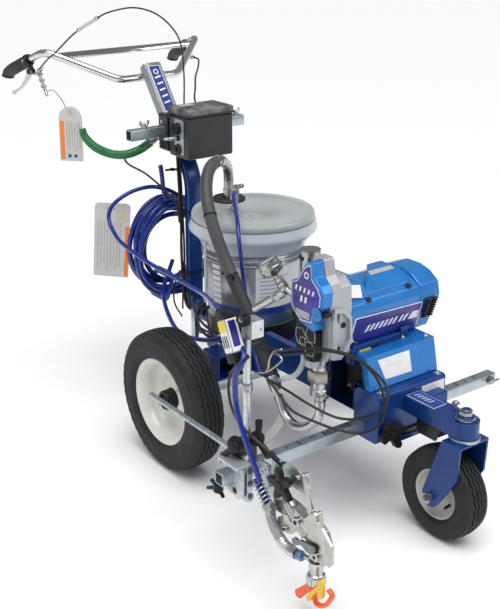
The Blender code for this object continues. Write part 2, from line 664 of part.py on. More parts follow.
def build_caster(chassis):
    place = Vector((KINGPIN_X, 0, FORK_TOP_Z))
    fork_body = body("caster_fork", place, chassis)
    axle = Vector((KINGPIN_X - CASTER_TRAIL, 0, CASTER_TYRE_RADIUS))
    w, t = FORK_HALF_WIDTH, FORK_PLATE
    leg = [(KINGPIN_X - 0.026, FORK_TOP_Z), (KINGPIN_X + 0.034, FORK_TOP_Z), (KINGPIN_X + 0.030, 0.205),
           (axle.x + 0.028, axle.z - 0.010)]
    for step in range(1, 6):
        angle = -math.radians(20) - math.radians(140) * step / 6
        leg.append((axle.x + 0.028 * math.cos(angle), axle.z + 0.028 * math.sin(angle)))
    leg.append((axle.x - 0.027, axle.z + 0.008))
    fork = solid("caster_fork", prism(leg, "y", -w, w), "blue_paint", fork_body)
    cut(fork, block((0.60, -w + t, 0.0), (0.90, w - t, FORK_TOP_Z - t)))
    cut(fork, disc(0.0065, -0.1, 0.1, axle, (0, 1, 0), 12))
    weld(fork, turned([(0, FORK_TOP_Z - 0.003), (0.036, FORK_TOP_Z - 0.003), (0.036, ARM_BOTTOM_Z - GAP),
                       (0.0120, ARM_BOTTOM_Z - GAP), (0.0120, ARM_TOP_Z + 0.0005), (0.022, ARM_TOP_Z + 0.0005),
                       (0.022, ARM_TOP_Z + 0.010), (0.014, ARM_TOP_Z + 0.012), (0.014, ARM_TOP_Z + 0.026),
                       (0, ARM_TOP_Z + 0.026)], (KINGPIN_X, 0, 0), segments=20))

    wheel = body("caster_wheel", axle, fork_body)
    bead = CASTER_HUB_RADIUS
    tyre = turned(tyre_profile(CASTER_TYRE_RADIUS, CASTER_TYRE_WIDTH, bead, 0.050), axle, (0, 1, 0), 28)
    solid("caster_tyre", tyre, "rubber", wheel)
    profile = [(0.0070, -0.040), (0.018, -0.040), (0.022, -0.030), (bead - 0.010, -0.028), (bead - GAP, -0.024),
               (bead - GAP, 0.024), (bead - 0.010, 0.028), (0.022, 0.030), (0.018, 0.040), (0.0070, 0.040)]
    solid("caster_rim", turned(profile, axle, (0, 1, 0), 24), "white_paint", wheel)
    end = w + 0.012
    bolt = turned([(0, -end), (0.011, -end), (0.011, -w - GAP), (0.0060, -w - GAP), (0.0060, w + GAP),
                   (0.011, w + GAP), (0.011, end), (0, end)], axle, (0, 1, 0), 12)
    solid("caster_axle", bolt, "zinc", fork_body)


# ---------------------------------------------------------------- handle
def build_handle(chassis):
    handle = body("handle", lean(POST_LENGTH), chassis)
    outer = box_section(POST_WIDTH, POST_DEPTH, 0.004)
    inner = box_section(POST_WIDTH - 2 * POST_WALL, POST_DEPTH - 2 * POST_WALL, 0.003)
    solid("handle_post", swept_tube([lean(POST_LENGTH), lean(0)], outer, inner), "aluminium", handle)

    path = [mirrored(GRIP_END, -1), mirrored(BAR_BEND, -1), mirrored(BAR_CORNER, -1),
            BAR_CORNER, BAR_BEND, GRIP_END]
    behind = lean(0.027, -POST_DEPTH / 2 - BAR_RADIUS - GAP)
    shift = Vector((behind.x - BAR_CORNER.x, 0, behind.z - BAR_CORNER.z))
    for index in (2, 3):
        path[index] = path[index] + shift
    cap = (path[0] - path[1]).normalized()
    path[0] = path[0] - cap * 0.006
    path[-1] = path[-1] - mirrored(cap, -1) * 0.006
    tube = swept(smooth_path(path, 0.055, 4), circle_section(BAR_RADIUS, 10), side=(0, 0, 1))
    bar = solid("handlebar", tube, "chrome", handle)
    along = 0.17
    join = path[4].lerp(path[3], along)
    weld(bar, swept([mirrored(join, -1), join], circle_section(BAR_RADIUS * 0.85, 12), side=(0, 0, 1)))

    for side, name in ((-1, "right"), (1, "left")):
        end, bend = mirrored(GRIP_END, side), mirrored(BAR_BEND, side)
        direction = (end - bend).normalized()
        start = end - direction * GRIP_LENGTH
        grip = swept_tube([start, start + direction * GRIP_LENGTH * 0.5, end],
                          circle_section(GRIP_RADIUS, 14), circle_section(BAR_RADIUS + GAP, 14),
                          side=(0, 0, 1), closed_end=0.0055)
        solid("grip_" + name, grip, "rubber", handle)
        lever_name = "trigger_lever" if side < 0 else "lock_lever"
        pivot, tip = mirrored(LEVER_PIVOT, side), mirrored(LEVER_TIP, side)
        lever_body = body(lever_name, pivot, handle)
        bow = pivot.lerp(tip, 0.45) + Vector((0.004, 0, -0.006))
        blade = swept(curve_path([pivot + (pivot - bow).normalized() * 0.012, bow, tip], 3),
                      box_section(0.018, 0.006, 0.002, 1), side=(0, 1, 0))
        solid(lever_name, blade, "aluminium", lever_body)

    arch = [(-0.804, -0.2985, 1.016), (-0.745, -0.300, 1.051), (-0.686, -0.300, 1.080), (-0.604, -0.275, 1.144),
            (-0.537, -0.236, 1.190), (-0.508, -0.208, 1.209), (-0.484, -0.144, 1.219), (-0.471, -0.078, 1.200),
            (-0.465, -0.023, 1.155), (-0.458, 0.003, 1.102), (-0.459, 0.012, 1.011), (-0.457, 0.009, 0.935),
            (-0.452, 0.006, 0.910)]
    solid("trigger_cable", swept(curve_path(arch, 2), circle_section(0.0032, 6)), "black_plastic", handle)


# ---------------------------------------------------------------- pail
def build_pail(chassis):
    place = (PAIL_X, 0, 0)
    base = DECK_Z + GAP
    wall = 0.003
    profile = [(0, base), (PAIL_BASE_RADIUS, base), (PAIL_TOP_RADIUS, PAIL_TOP_Z),
               (PAIL_TOP_RADIUS - wall, PAIL_TOP_Z), (PAIL_BASE_RADIUS - wall, base + wall), (0, base + wall)]
    solid("pail", turned(profile, place, segments=36), "silver_paint", chassis)
    lid_body = body("pail_lid", (PAIL_X, 0, LID_TOP_Z), chassis)
    r = LID_RADIUS
    skirt = PAIL_TOP_RADIUS + 0.0015
    profile = [(0, LID_TOP_Z), (r - 0.012, LID_TOP_Z), (r, LID_TOP_Z - 0.004), (r, LID_TOP_Z - 0.014),
               (r + 0.008, LID_TOP_Z - 0.030), (skirt + 0.010, 0.592), (skirt + 0.003, 0.578),
               (skirt, 0.578), (skirt + 0.006, 0.592), (r + 0.004, LID_TOP_Z - 0.032), (r - 0.004, LID_TOP_Z - 0.018),
               (r - 0.008, LID_TOP_Z - 0.006), (0, LID_TOP_Z - 0.006)]
    lid = solid("pail_lid", turned(profile, place, segments=28), "grey_plastic", lid_body)
    cut(lid, disc(0.0150, 0.60, 0.70, (GROMMET.x, GROMMET.y, 0), segments=16))


# ---------------------------------------------------------------- gun side
def build_gun_bar(chassis):
    bar_body = body("gun_bar", (BAR_X, 0, BAR_Z), chassis)
    ends = [Vector((BAR_X, BAR_Y[0], BAR_Z)), Vector((BAR_X, BAR_Y[1], BAR_Z))]
    inner = BAR_SIZE - 2 * BAR_WALL
    solid("gun_bar", swept_tube(ends, box_section(BAR_SIZE, BAR_SIZE, 0.003),
                                box_section(inner, inner, 0.001), side=(1, 0, 0)), "zinc", bar_body)

    # T-shaped clamp screw on the front face of the front box
    knob_place = Vector((FRONT_BOX_X[1] + GAP, -0.087, 0.262))
    knob_body = body("bar_knob", knob_place, chassis)
    wing = rounded([(-0.030, 0.006), (-0.026, -0.012), (0.004, -0.010), (0.020, -0.036), (0.032, -0.030),
                    (0.018, -0.004), (0.030, 0.012), (0.024, 0.020), (0.000, 0.012), (-0.010, 0.030),
                    (-0.022, 0.024), (-0.016, 0.008)], 0.002, 1)
    wing = [(knob_place.y + a, knob_place.z + b) for a, b in wing]
    knob = solid("bar_knob", prism(wing, "x", knob_place.x + 0.008, knob_place.x + 0.022), "black_plastic", knob_body)
    weld(knob, disc(0.006, 0, 0.010, knob_place, (1, 0, 0), 12))

    half = BAR_SIZE / 2
    clamp = solid("pointer_clamp", block((POLE_X - 0.020, POLE_Y - 0.034, BAR_Z + half + GAP),
                                         (POLE_X + 0.020, POLE_Y + 0.016, 0.345), 0.003),
                  "black_plastic", bar_body)
    cut(clamp, disc(0.0102, 0.25, 0.40, (POLE_X, POLE_Y, 0), segments=16))
    cut(clamp, disc(0.0080, -0.10, 0.10, (POLE_X, ROD_Y - 0.002, ROD_Z), (1, 0, 0), 16))

    rod_body = body("pointer_rod", (POLE_X, ROD_Y - 0.002, ROD_Z), bar_body)
    rod = turned([(0, -0.389), (0.0074, -0.389), (0.0074, 0.030), (0, 0.030)],
                 (POLE_X, ROD_Y - 0.002, ROD_Z), (1, 0, 0), 12)
    solid("pointer_rod", rod, "zinc", rod_body)

    pole_body = body("pointer_pole", (POLE_X, POLE_Y, 0.345), bar_body)
    pole = turned([(0, 0.282), (0.0095, 0.282), (0.0095, POLE_TOP_Z), (0, POLE_TOP_Z)],
                  (POLE_X, POLE_Y, 0), segments=16)
    pole = solid("pointer_pole", pole, "zinc", pole_body)
    weld(pole, block((POLE_X - 0.018, POLE_Y - 0.010, POLE_TOP_Z - 0.004),
                     (POLE_X + 0.050, POLE_Y + 0.018, POLE_TOP_Z + 0.034), 0.002))

    laser_place = Vector((POLE_X - 0.010, POLE_Y - 0.0105, POLE_TOP_Z + 0.012))
    laser_body = body("laser_module", laser_place, pole_body)
    tilt = math.radians(31)
    down = Vector((math.sin(tilt), 0, -math.cos(tilt)))
    middle = laser_place + Vector((-0.012, -0.036, -0.014))
    path = [middle - down * 0.058, middle + down * 0.058]
    laser = solid("laser_module", swept(path, box_section(0.042, 0.044, 0.003, 1)), "silver_paint", laser_body)
    weld(laser, disc(0.008, -0.030, -GAP, laser_place, (0, 1, 0), 12))
    return bar_body


def build_gun(bar_body):
    carriage = body("gun_carriage", (BAR_X, -0.520, BAR_Z), bar_body)
    plate = rounded([(0.500, 0.243), (0.536, 0.243), (0.540, 0.212), (0.566, 0.212), (0.566, 0.303), (0.500, 0.303)],
                    0.004, 2)
    block_y = (-0.540, -0.516)
    clamp = solid("gun_carriage", prism(plate, "y", *block_y), "silver_paint", carriage)
    half = BAR_SIZE / 2 + GAP
    weld(clamp, block((0.5465, -0.530, 0.206), (0.572, -0.498, 0.303), 0.002))
    weld(clamp, block((0.4970, -0.5605, 0.2415), (0.5220, -0.515, 0.2473)))
    cut(clamp, block((BAR_X - half, -0.60, BAR_Z - half), (BAR_X + half, -0.40, BAR_Z + half)))

    knob_place = Vector((BAR_X - 0.018, -0.550, 0.241))
    knob_body = body("carriage_knob", knob_place, carriage)
    knob_path = [knob_place + Vector((-0.030, -0.003, -0.030)), knob_place + Vector((0, 0, -0.012)),
                 knob_place + Vector((0.012, 0.002, -0.022))]
    knob = solid("carriage_knob", swept(knob_path, circle_section(0.006, 10), side=(0, 1, 0)),
                 "black_plastic", knob_body)
    weld(knob, disc(0.008, -0.018, -GAP, knob_place, segments=12))

    arm_pivot = Vector((0.600, -0.508, 0.270))
    arm_body = body("gun_arm", arm_pivot, carriage)
    y0, y1 = -0.497, -0.485
    outline = [(0.578, 0.240), (0.640, 0.240), (0.690, 0.262), (0.746, 0.330), (0.752, 0.352), (0.735, 0.362),
               (0.600, 0.338), (0.578, 0.322)]
    solid("gun_arm", prism(rounded(outline, 0.006, 2), "y", y0, y1), "silver_paint", arm_body)

    star_body = body("star_knob", STAR_PIVOT, arm_body)
    points = []
    for k in range(10):
        radius = 0.030 if k % 2 == 0 else 0.012
        angle = math.radians(36 * k + 10)
        points.append((STAR_PIVOT.x + radius * math.cos(angle), STAR_PIVOT.z + radius * math.sin(angle)))
    star = solid("star_knob", prism(rounded(points, 0.004, 2), "y", -0.522, -0.506), "black_plastic", star_body)
    weld(star, disc(0.007, -0.010, 0.0025, STAR_PIVOT, (0, 1, 0), 12))

    y0, y1 = -0.484, -0.462
    outline = [(0.628, 0.236), (0.660, 0.262), (0.700, 0.262), (0.760, 0.240), (0.838, 0.170), (0.832, 0.150),
               (0.818, 0.150), (0.812, 0.172), (0.786, 0.182), (0.770, 0.166), (0.716, 0.190), (0.672, 0.196)]
    gun = solid("gun_body", prism(rounded(outline, 0.005, 2), "y", y0, y1), "steel", arm_body)
    weld(gun, turned([(0, 0.100), (0.017, 0.100), (0.017, 0.124), (0.014, 0.128), (0.014, 0.178), (0, 0.178)],
                     (GUN_X, GUN_Y, 0), segments=16))

    pull_pivot = Vector((0.742, -0.503, 0.346))
    pull_body = body("gun_trigger", pull_pivot, arm_body)
    path = [Vector((0.738, -0.504, 0.350)), Vector((0.766, -0.504, 0.322)), Vector((0.780, -0.504, 0.276)),
            Vector((0.824, -0.504, 0.250)), Vector((0.856, -0.504, 0.212)), Vector((0.852, -0.504, 0.172))]
    pull = swept(curve_path(path, 2), box_section(0.010, 0.012, 0.002, 1))
    solid("gun_trigger", pull, "aluminium", pull_body)

    guard_z = 0.099
    ring = turned([(0.009, guard_z), (0.0195, guard_z), (0.0195, guard_z - 0.018), (0.009, guard_z - 0.018)],
                  (GUN_X, GUN_Y, 0), segments=16)
    guard = solid("tip_guard", ring, "orange_plastic", arm_body)
    for side in (-1, 1):
        root = Vector((GUN_X + side * 0.014, GUN_Y, guard_z - 0.012))
        wing = swept([root, root + Vector((side * 0.034, 0, -0.034))], box_section(0.026, 0.006, 0.002, 1))
        weld(guard, wing)
    tip_place = Vector((GUN_X, GUN_Y, guard_z - 0.030))
    tip_body = body("spray_tip", tip_place, arm_body)
    tip = turned([(0, -0.020), (0.0065, -0.020), (0.0065, 0.022), (0.0045, 0.026), (0.0045, 0.034), (0, 0.034)],
                 tip_place, (0, 1, 0), 14)
    solid("spray_tip", tip, "yellow_plastic", tip_body)


# ---------------------------------------------------------------- whole machine
def build():
    for obj in list(bpy.data.objects):
        bpy.data.objects.remove(obj, do_unlink=True)
    chassis = body("chassis")
    build_frame(chassis)
    build_front(chassis)
    build_battery(chassis)
    build_mast(chassis)
    build_control_box(chassis)
    build_drive(chassis)
    build_pump(chassis)
    build_hose_coil(chassis)
    for side in (-1, 1):
        build_rear_wheel(side, chassis)
    build_caster(chassis)
    build_handle(chassis)
    build_pail(chassis)
    build_gun(build_gun_bar(chassis))


build()
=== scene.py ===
"""Looks of the line striping machine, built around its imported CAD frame.

Metres, +X forward, +Y the operator's left, +Z up, as in the frame. Fixed points are worked out from
the frame's own boxes and joints where a piece touches a CAD node.
"""
import json
import math

import bmesh
import bpy
from mathutils import Matrix, Vector


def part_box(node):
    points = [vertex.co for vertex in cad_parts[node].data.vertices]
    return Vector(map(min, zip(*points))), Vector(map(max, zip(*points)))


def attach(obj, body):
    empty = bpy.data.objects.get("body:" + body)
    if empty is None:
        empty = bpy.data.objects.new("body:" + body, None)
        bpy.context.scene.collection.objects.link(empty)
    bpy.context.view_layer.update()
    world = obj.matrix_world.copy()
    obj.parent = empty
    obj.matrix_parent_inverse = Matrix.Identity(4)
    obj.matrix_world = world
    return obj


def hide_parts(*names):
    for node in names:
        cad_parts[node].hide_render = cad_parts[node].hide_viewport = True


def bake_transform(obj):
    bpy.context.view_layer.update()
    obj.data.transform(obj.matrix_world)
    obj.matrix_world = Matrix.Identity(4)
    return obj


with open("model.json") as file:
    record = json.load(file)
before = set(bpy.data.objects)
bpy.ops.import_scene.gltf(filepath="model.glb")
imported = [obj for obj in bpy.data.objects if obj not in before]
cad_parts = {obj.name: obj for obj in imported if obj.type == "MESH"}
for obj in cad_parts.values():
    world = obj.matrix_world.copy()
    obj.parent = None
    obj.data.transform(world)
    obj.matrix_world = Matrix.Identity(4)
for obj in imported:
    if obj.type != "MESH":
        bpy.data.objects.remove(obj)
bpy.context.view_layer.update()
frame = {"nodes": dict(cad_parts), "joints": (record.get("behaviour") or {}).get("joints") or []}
NODES = frame["nodes"]
JOINTS = {joint["name"]: joint for joint in frame["joints"]}
X, Y, Z = Vector((1, 0, 0)), Vector((0, 1, 0)), Vector((0, 0, 1))


def low(node):
    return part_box(node)[0]


def high(node):
    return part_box(node)[1]


def middle(node):
    return (low(node) + high(node)) / 2


def pivot(joint):
    return Vector(JOINTS[joint]["pos_m"])


# ---------------------------------------------------------------- shapes
def frame_from(direction, side=None):
    """A rotation whose local Z is the direction and, if a side is given, whose local X is near it."""
    direction = Vector(direction).normalized()
    if side is None:
        return direction.to_track_quat("Z", "Y").to_matrix().to_4x4()
    across = Vector(side)
    across = (across - direction * across.dot(direction)).normalized()
    rows = Matrix((across, direction.cross(across), direction))
    return rows.transposed().to_4x4()


def curve(points, per_span=6, closed=False):
    """A smooth Catmull-Rom path through the points."""
    points = [Vector(p) for p in points]
    if closed:
        ends = [points[-1], *points, points[0], points[1]]
    else:
        ends = [points[0] * 2 - points[1], *points, points[-1] * 2 - points[-2]]
    path = []
    for i in range(1, len(ends) - 2):
        p0, p1, p2, p3 = ends[i - 1:i + 3]
        for step in range(per_span):
            t = step / per_span
            path.append(0.5 * (2 * p1 + (p2 - p0) * t + (2 * p0 - 5 * p1 + 4 * p2 - p3) * t * t
                               + (3 * p1 - p0 - 3 * p2 + p3) * t ** 3))
    if not closed:
        path.append(points[-1])
    return path


def rounded(points, radius, steps=4):
    """A closed outline with its corners rounded. radius is one value or one per corner."""
    result = []
    radii = radius if isinstance(radius, (list, tuple)) else [radius] * len(points)
    for i, corner in enumerate(points):
        here = Vector(corner)
        before = Vector(points[i - 1]) - here
        after = Vector(points[(i + 1) % len(points)]) - here
        if radii[i] <= 0 or before.angle(after) > math.radians(178):
            result.append(tuple(here))
            continue
        half = before.angle(after) / 2
        reach = min(radii[i] / math.tan(half), before.length * 0.49, after.length * 0.49)
        centre = here + (before.normalized() + after.normalized()).normalized() * reach / math.cos(half)
        start, end = here + before.normalized() * reach - centre, here + after.normalized() * reach - centre
        for step in range(steps + 1):
            result.append(tuple(centre + start.lerp(end, step / steps).normalized() * start.length))
    return result


def circle(radius, count, phase=0.0):
    return [(radius * math.cos(math.tau * k / count + phase), radius * math.sin(math.tau * k / count + phase))
            for k in range(count)]


class Shape:
    """A mesh that grows piece by piece in the machine's own coordinates."""

    def __init__(self):
        self.bm = bmesh.new()

    def box(self, corner, opposite, turn=None, about=None):
        a, b = Vector(corner), Vector(opposite)
        made = bmesh.ops.create_cube(self.bm, size=1.0, matrix=Matrix.Translation((a + b) / 2)
                                     @ Matrix.Diagonal((*(b - a), 1.0)))
        if turn is not None:
            centre = Vector(about) if about is not None else (a + b) / 2
            bmesh.ops.rotate(self.bm, verts=made["verts"], cent=centre, matrix=turn)
        return self

    def turned(self, profile, place, axis=Z, segments=24):
        """Revolve (radius, height) pairs; a profile with no point on the axis closes as a ring."""
        move = Matrix.Translation(Vector(place)) @ frame_from(axis)
        rows = []
        for radius, height in profile:
            ring = [(0.0, 0.0)] if radius < 1e-9 else circle(radius, segments)
            rows.append([self.bm.verts.new(move @ Vector((a, b, height))) for a, b in ring])
        pairs = list(zip(rows, rows[1:]))
        if profile[0][0] > 1e-9 and profile[-1][0] > 1e-9:
            pairs.append((rows[-1], rows[0]))
        for one, two in pairs:
            for k in range(segments):
                n = (k + 1) % segments
                corners = [one[k % len(one)], one[n % len(one)], two[n % len(two)], two[k % len(two)]]
                corners = list(dict.fromkeys(corners))
                if len(corners) > 2:
                    self.bm.faces.new(corners)
        return self

    def rod(self, start, end, radius, segments=16):
        length = (Vector(end) - Vector(start)).length
        edge = min(radius * 0.15, length * 0.2)
        return self.turned([(0, 0), (radius - edge, 0), (radius, edge), (radius, length - edge),
                            (radius - edge, length), (0, length)], start, Vector(end) - Vector(start),
                           segments)

    def tube(self, path, radius, sides=10, flat=1.0, side=Z, closed=False):
        """A swept tube. radius is a number or a function of the share of the way along."""
        rows, carried = [], Vector(side)
        count = len(path)
        for i, point in enumerate(path):
            before = path[i - 1] if i or closed else point
            after = path[(i + 1) % count] if i < count - 1 or closed else point
            tangent = (after - before).normalized()
            carried = (carried - tangent * carried.dot(tangent)).normalized()
            other = tangent.cross(carried)
            size = radius(i / (count - 1)) if callable(radius) else radius
            rows.append([self.bm.verts.new(point + carried * a * flat + other * b)
                         for a, b in circle(size, sides)])
        pairs = list(zip(rows, rows[1:])) + ([(rows[-1], rows[0])] if closed else [])
        for one, two in pairs:
            for k in range(sides):
                n = (k + 1) % sides
                self.bm.faces.new((one[k], one[n], two[n], two[k]))
        if not closed:
            self.bm.faces.new(rows[0])
            self.bm.faces.new(rows[-1])
        return self

    def plate(self, outline, origin, across, up, thickness):
        """A flat plate: the outline lies in the plane of across and up, and thickens along across x up."""
        origin, across, up = Vector(origin), Vector(across).normalized(), Vector(up).normalized()
        normal = across.cross(up).normalized() * thickness
        rows = [[self.bm.verts.new(origin + across * a + up * b + shift) for a, b in outline]
                for shift in (Vector(), normal)]
        self.bm.faces.new(rows[0])
        self.bm.faces.new(rows[1])
        for k in range(len(outline)):
            n = (k + 1) % len(outline)
            self.bm.faces.new((rows[0][k], rows[0][n], rows[1][n], rows[1][k]))
        return self

    def prism(self, outline, axis, start, end):
        """A plate whose outline is in the two other world axes, in x-y-z order."""
        first, second = {"x": (Y, Z), "y": (X, Z), "z": (X, Y)}[axis]
        along = {"x": X, "y": Y, "z": Z}[axis]
        normal = first.cross(second)
        return self.plate(outline, along * start, first, second, (end - start) * normal.dot(along))

    def bolt(self, place, axis, size, washer=True, height=0.6):
        """A hexagon head on a washer; size is the head's radius."""
        axis = Vector(axis).normalized()
        place = Vector(place)
        if washer:
            self.turned([(0, 0), (size * 1.45, 0), (size * 1.45, size * 0.2), (0, size * 0.2)], place, axis,
                        20)
        top = place + axis * size * (0.2 + height)
        self.turned([(0, -size * height), (size, -size * height), (size, -size * 0.12), (size * 0.85, 0),
                     (0, 0)],
                    top, axis, 6)
        return self.turned([(0, 0), (size * 0.45, 0), (size * 0.45, size * 0.28), (size * 0.35, size * 0.36),
                            (0, size * 0.36)], top, axis, 12)

    def piece(self, name, material, body, bevel=0.0, smooth=38.0, ride=True):
        bmesh.ops.recalc_face_normals(self.bm, faces=self.bm.faces)
        mesh = bpy.data.meshes.new(name)
        self.bm.to_mesh(mesh)
        self.bm.free()
        mesh.shade_smooth()
        mesh.set_sharp_from_angle(angle=math.radians(smooth))
        mesh.materials.append(material)
        obj = bpy.data.objects.new(name, mesh)
        bpy.context.scene.collection.objects.link(obj)
        if bevel:
            add_bevel(obj, bevel)
        if ride:
            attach(obj, body)
        return obj


def add_bevel(obj, width, segments=2):
    modifier = obj.modifiers.new("edges", "BEVEL")
    modifier.width = width
    modifier.segments = segments
    modifier.limit_method = "ANGLE"
    modifier.angle_limit = math.radians(32)
    modifier.harden_normals = True


def dress(node, material, bevel=0.0012):
    """Give a CAD node its finish: welded facets, smooth round sides and softened edges."""
    obj = NODES[node]
    obj.data.materials.clear()
    obj.data.materials.append(material)
    for name in ("custom_normal", "sharp_face", "sharp_edge"):
        if name in obj.data.attributes:
            obj.data.attributes.remove(obj.data.attributes[name])
    obj.data.shade_smooth()
    weld = obj.modifiers.new("weld", "WELD")
    weld.merge_threshold = 0.00002
    if bevel:
        add_bevel(obj, bevel)


# ---------------------------------------------------------------- materials
def surface(name, colour, metallic=0.0, roughness=0.4, coat=0.0, vary=0.08, scale=18.0, rough_vary=0.1,
            bump=0.0, bump_scale=300.0, stretch=(1, 1, 1), second=None, alpha=1.0, shine=0.5):
    """A procedural finish: clouded colour, uneven gloss and, if asked, a fine bump."""
    material = bpy.data.materials.new(name)
    material.use_nodes = True
    nodes, links = material.node_tree.nodes, material.node_tree.links
    shader = nodes["Principled BSDF"]
    shader.inputs["Metallic"].default_value = metallic
    shader.inputs["Specular IOR Level"].default_value = shine
    shader.inputs["Coat Weight"].default_value = coat
    shader.inputs["Coat Roughness"].default_value = 0.08
    place = nodes.new("ShaderNodeTexCoord")
    mapping = nodes.new("ShaderNodeMapping")
    mapping.inputs["Scale"].default_value = stretch
    links.new(place.outputs["Object"], mapping.inputs["Vector"])
    cloud = nodes.new("ShaderNodeTexNoise")
    cloud.inputs["Scale"].default_value = scale
    cloud.inputs["Detail"].default_value = 5.0
    links.new(mapping.outputs["Vector"], cloud.inputs["Vector"])
    mix = nodes.new("ShaderNodeMix")
    mix.data_type = "RGBA"
    dark = [c * (1 - vary) for c in colour] if second is None else second
    light = [min(1.0, c * (1 + vary)) for c in colour] if second is None else colour
    mix.inputs["A"].default_value = (*dark, 1)
    mix.inputs["B"].default_value = (*light, 1)
    ramp = nodes.new("ShaderNodeMapRange")
    ramp.inputs["From Min"].default_value = 0.35
    ramp.inputs["From Max"].default_value = 0.65
    links.new(cloud.outputs["Fac"], ramp.inputs["Value"])
    links.new(ramp.outputs["Result"], mix.inputs["Factor"])
    links.new(mix.outputs["Result"], shader.inputs["Base Color"])
    gloss = nodes.new("ShaderNodeMapRange")
    gloss.inputs["To Min"].default_value = max(0.02, roughness - rough_vary)
    gloss.inputs["To Max"].default_value = min(1.0, roughness + rough_vary)
    links.new(cloud.outputs["Fac"], gloss.inputs["Value"])
    links.new(gloss.outputs["Result"], shader.inputs["Roughness"])
    if bump:
        grain = nodes.new("ShaderNodeTexNoise")
        grain.inputs["Scale"].default_value = bump_scale
        grain.inputs["Detail"].default_value = 3.0
        links.new(mapping.outputs["Vector"], grain.inputs["Vector"])
        relief = nodes.new("ShaderNodeBump")
        relief.inputs["Strength"].default_value = bump
        relief.inputs["Distance"].default_value = 0.001
        links.new(grain.outputs["Fac"], relief.inputs["Height"])
        links.new(relief.outputs["Normal"], shader.inputs["Normal"])
    if alpha < 1.0:
        shader.inputs["Alpha"].default_value = alpha
    material.diffuse_color = (*colour, 1)
    return material


def wave_bump(material, direction, scale, strength, distance=0.001):
    """Add regular ribs along an axis to a finish, such as the wraps of a spiral sleeve."""
    nodes, links = material.node_tree.nodes, material.node_tree.links
    wave = nodes.new("ShaderNodeTexWave")
    wave.bands_direction = direction
    wave.inputs["Scale"].default_value = scale
    place = nodes.new("ShaderNodeTexCoord")
    relief = nodes.new("ShaderNodeBump")
    relief.inputs["Strength"].default_value = strength
    relief.inputs["Distance"].default_value = distance
    links.new(place.outputs["Object"], wave.inputs["Vector"])
    links.new(wave.outputs["Fac"], relief.inputs["Height"])
    links.new(relief.outputs["Normal"], nodes["Principled BSDF"].inputs["Normal"])
    return material


BLUE = surface("blue_paint", (0.004, 0.040, 0.200), 0.25, 0.30, coat=0.25, shine=0.35, vary=0.10, bump=0.05,
               bump_scale=500)
BRIGHT_BLUE = surface("bright_blue_paint", (0.010, 0.185, 0.560), 0.35, 0.28, coat=0.4, vary=0.08, bump=0.05,
                      bump_scale=500)
DARK_BLUE = surface("dark_blue_paint", (0.003, 0.014, 0.070), 0.15, 0.40, shine=0.3, vary=0.12, bump=0.06)
SHROUD_BLUE = surface("shroud_blue", (0.010, 0.170, 0.500), 0.15, 0.32, coat=0.30, vary=0.07, bump=0.10,
                      bump_scale=900)
VIOLET = surface("violet_label", (0.040, 0.025, 0.36), 0.0, 0.35, shine=0.4, coat=0.3,
                 second=(0.012, 0.010, 0.11), scale=6)
LABEL_BLUE = surface("blue_label", (0.016, 0.050, 0.260), 0.0, 0.38, vary=0.06)
LABEL_WHITE = surface("white_label", (0.80, 0.81, 0.83), 0.0, 0.45, vary=0.03, scale=40)
LABEL_GREY = surface("grey_print", (0.42, 0.43, 0.47), 0.0, 0.5, vary=0.1, scale=60)
LABEL_FAINT = surface("faint_print", (0.66, 0.68, 0.73), 0.0, 0.5, vary=0.05, scale=60)
LABEL_YELLOW = surface("yellow_label", (0.80, 0.62, 0.05), 0.0, 0.45, vary=0.05)
LABEL_ORANGE = surface("orange_label", (0.90, 0.22, 0.02), 0.0, 0.45, vary=0.05)
CREAM = surface("cream_paint", (0.70, 0.70, 0.66), 0.0, 0.32, coat=0.4, vary=0.05, scale=9, bump=0.06,
                bump_scale=200)
GREY_HUB = surface("grey_hub_plastic", (0.50, 0.49, 0.47), 0.0, 0.42, vary=0.05, bump=0.08)
CHROME = surface("polished_tube", (0.66, 0.67, 0.69), 1.0, 0.13, vary=0.04, scale=30, rough_vary=0.05,
                 bump=0.03, bump_scale=400, stretch=(1, 1, 8))
ALUMINIUM = surface("brushed_aluminium", (0.56, 0.57, 0.58), 1.0, 0.28, vary=0.05, scale=60, rough_vary=0.1,
                    bump=0.08, bump_scale=500, stretch=(1, 1, 0.06))
CAST = surface("cast_nickel", (0.50, 0.50, 0.48), 1.0, 0.32, vary=0.10, scale=50, rough_vary=0.12,
               bump=0.25, bump_scale=260)
ZINC = surface("zinc_plate", (0.50, 0.56, 0.60), 0.9, 0.34, vary=0.12, scale=30, rough_vary=0.12, bump=0.06,
               second=(0.40, 0.46, 0.49))
ZINC_BRIGHT = surface("bright_zinc", (0.62, 0.66, 0.68), 0.85, 0.36, vary=0.08, scale=40, bump=0.05)
GALVANISED = surface("galvanised_sheet", (0.50, 0.56, 0.54), 0.85, 0.38, scale=45, rough_vary=0.1, bump=0.08,
                     second=(0.38, 0.43, 0.42))
STEEL = surface("stainless", (0.42, 0.42, 0.41), 1.0, 0.25, vary=0.06, scale=80, rough_vary=0.08, bump=0.05)
DARK_STEEL = surface("dark_steel", (0.22, 0.23, 0.24), 0.9, 0.38, vary=0.1)
BRASS = surface("brass", (0.72, 0.47, 0.12), 1.0, 0.28, vary=0.08)
SILVER = surface("silver_casting", (0.42, 0.44, 0.47), 0.35, 0.36, coat=0.2, vary=0.05, scale=12, bump=0.12,
                 bump_scale=700)
SILVER_LIGHT = surface("silver_bracket", (0.55, 0.58, 0.61), 0.5, 0.36, vary=0.06, scale=14, bump=0.08,
                       bump_scale=700)
PAIL_SILVER = surface("pail_silver", (0.36, 0.38, 0.41), 0.75, 0.30, vary=0.07, scale=5, rough_vary=0.06)
BLACK = surface("black_moulding", (0.010, 0.010, 0.011), 0.0, 0.42, shine=0.25, vary=0.2, bump=0.15,
                bump_scale=700)
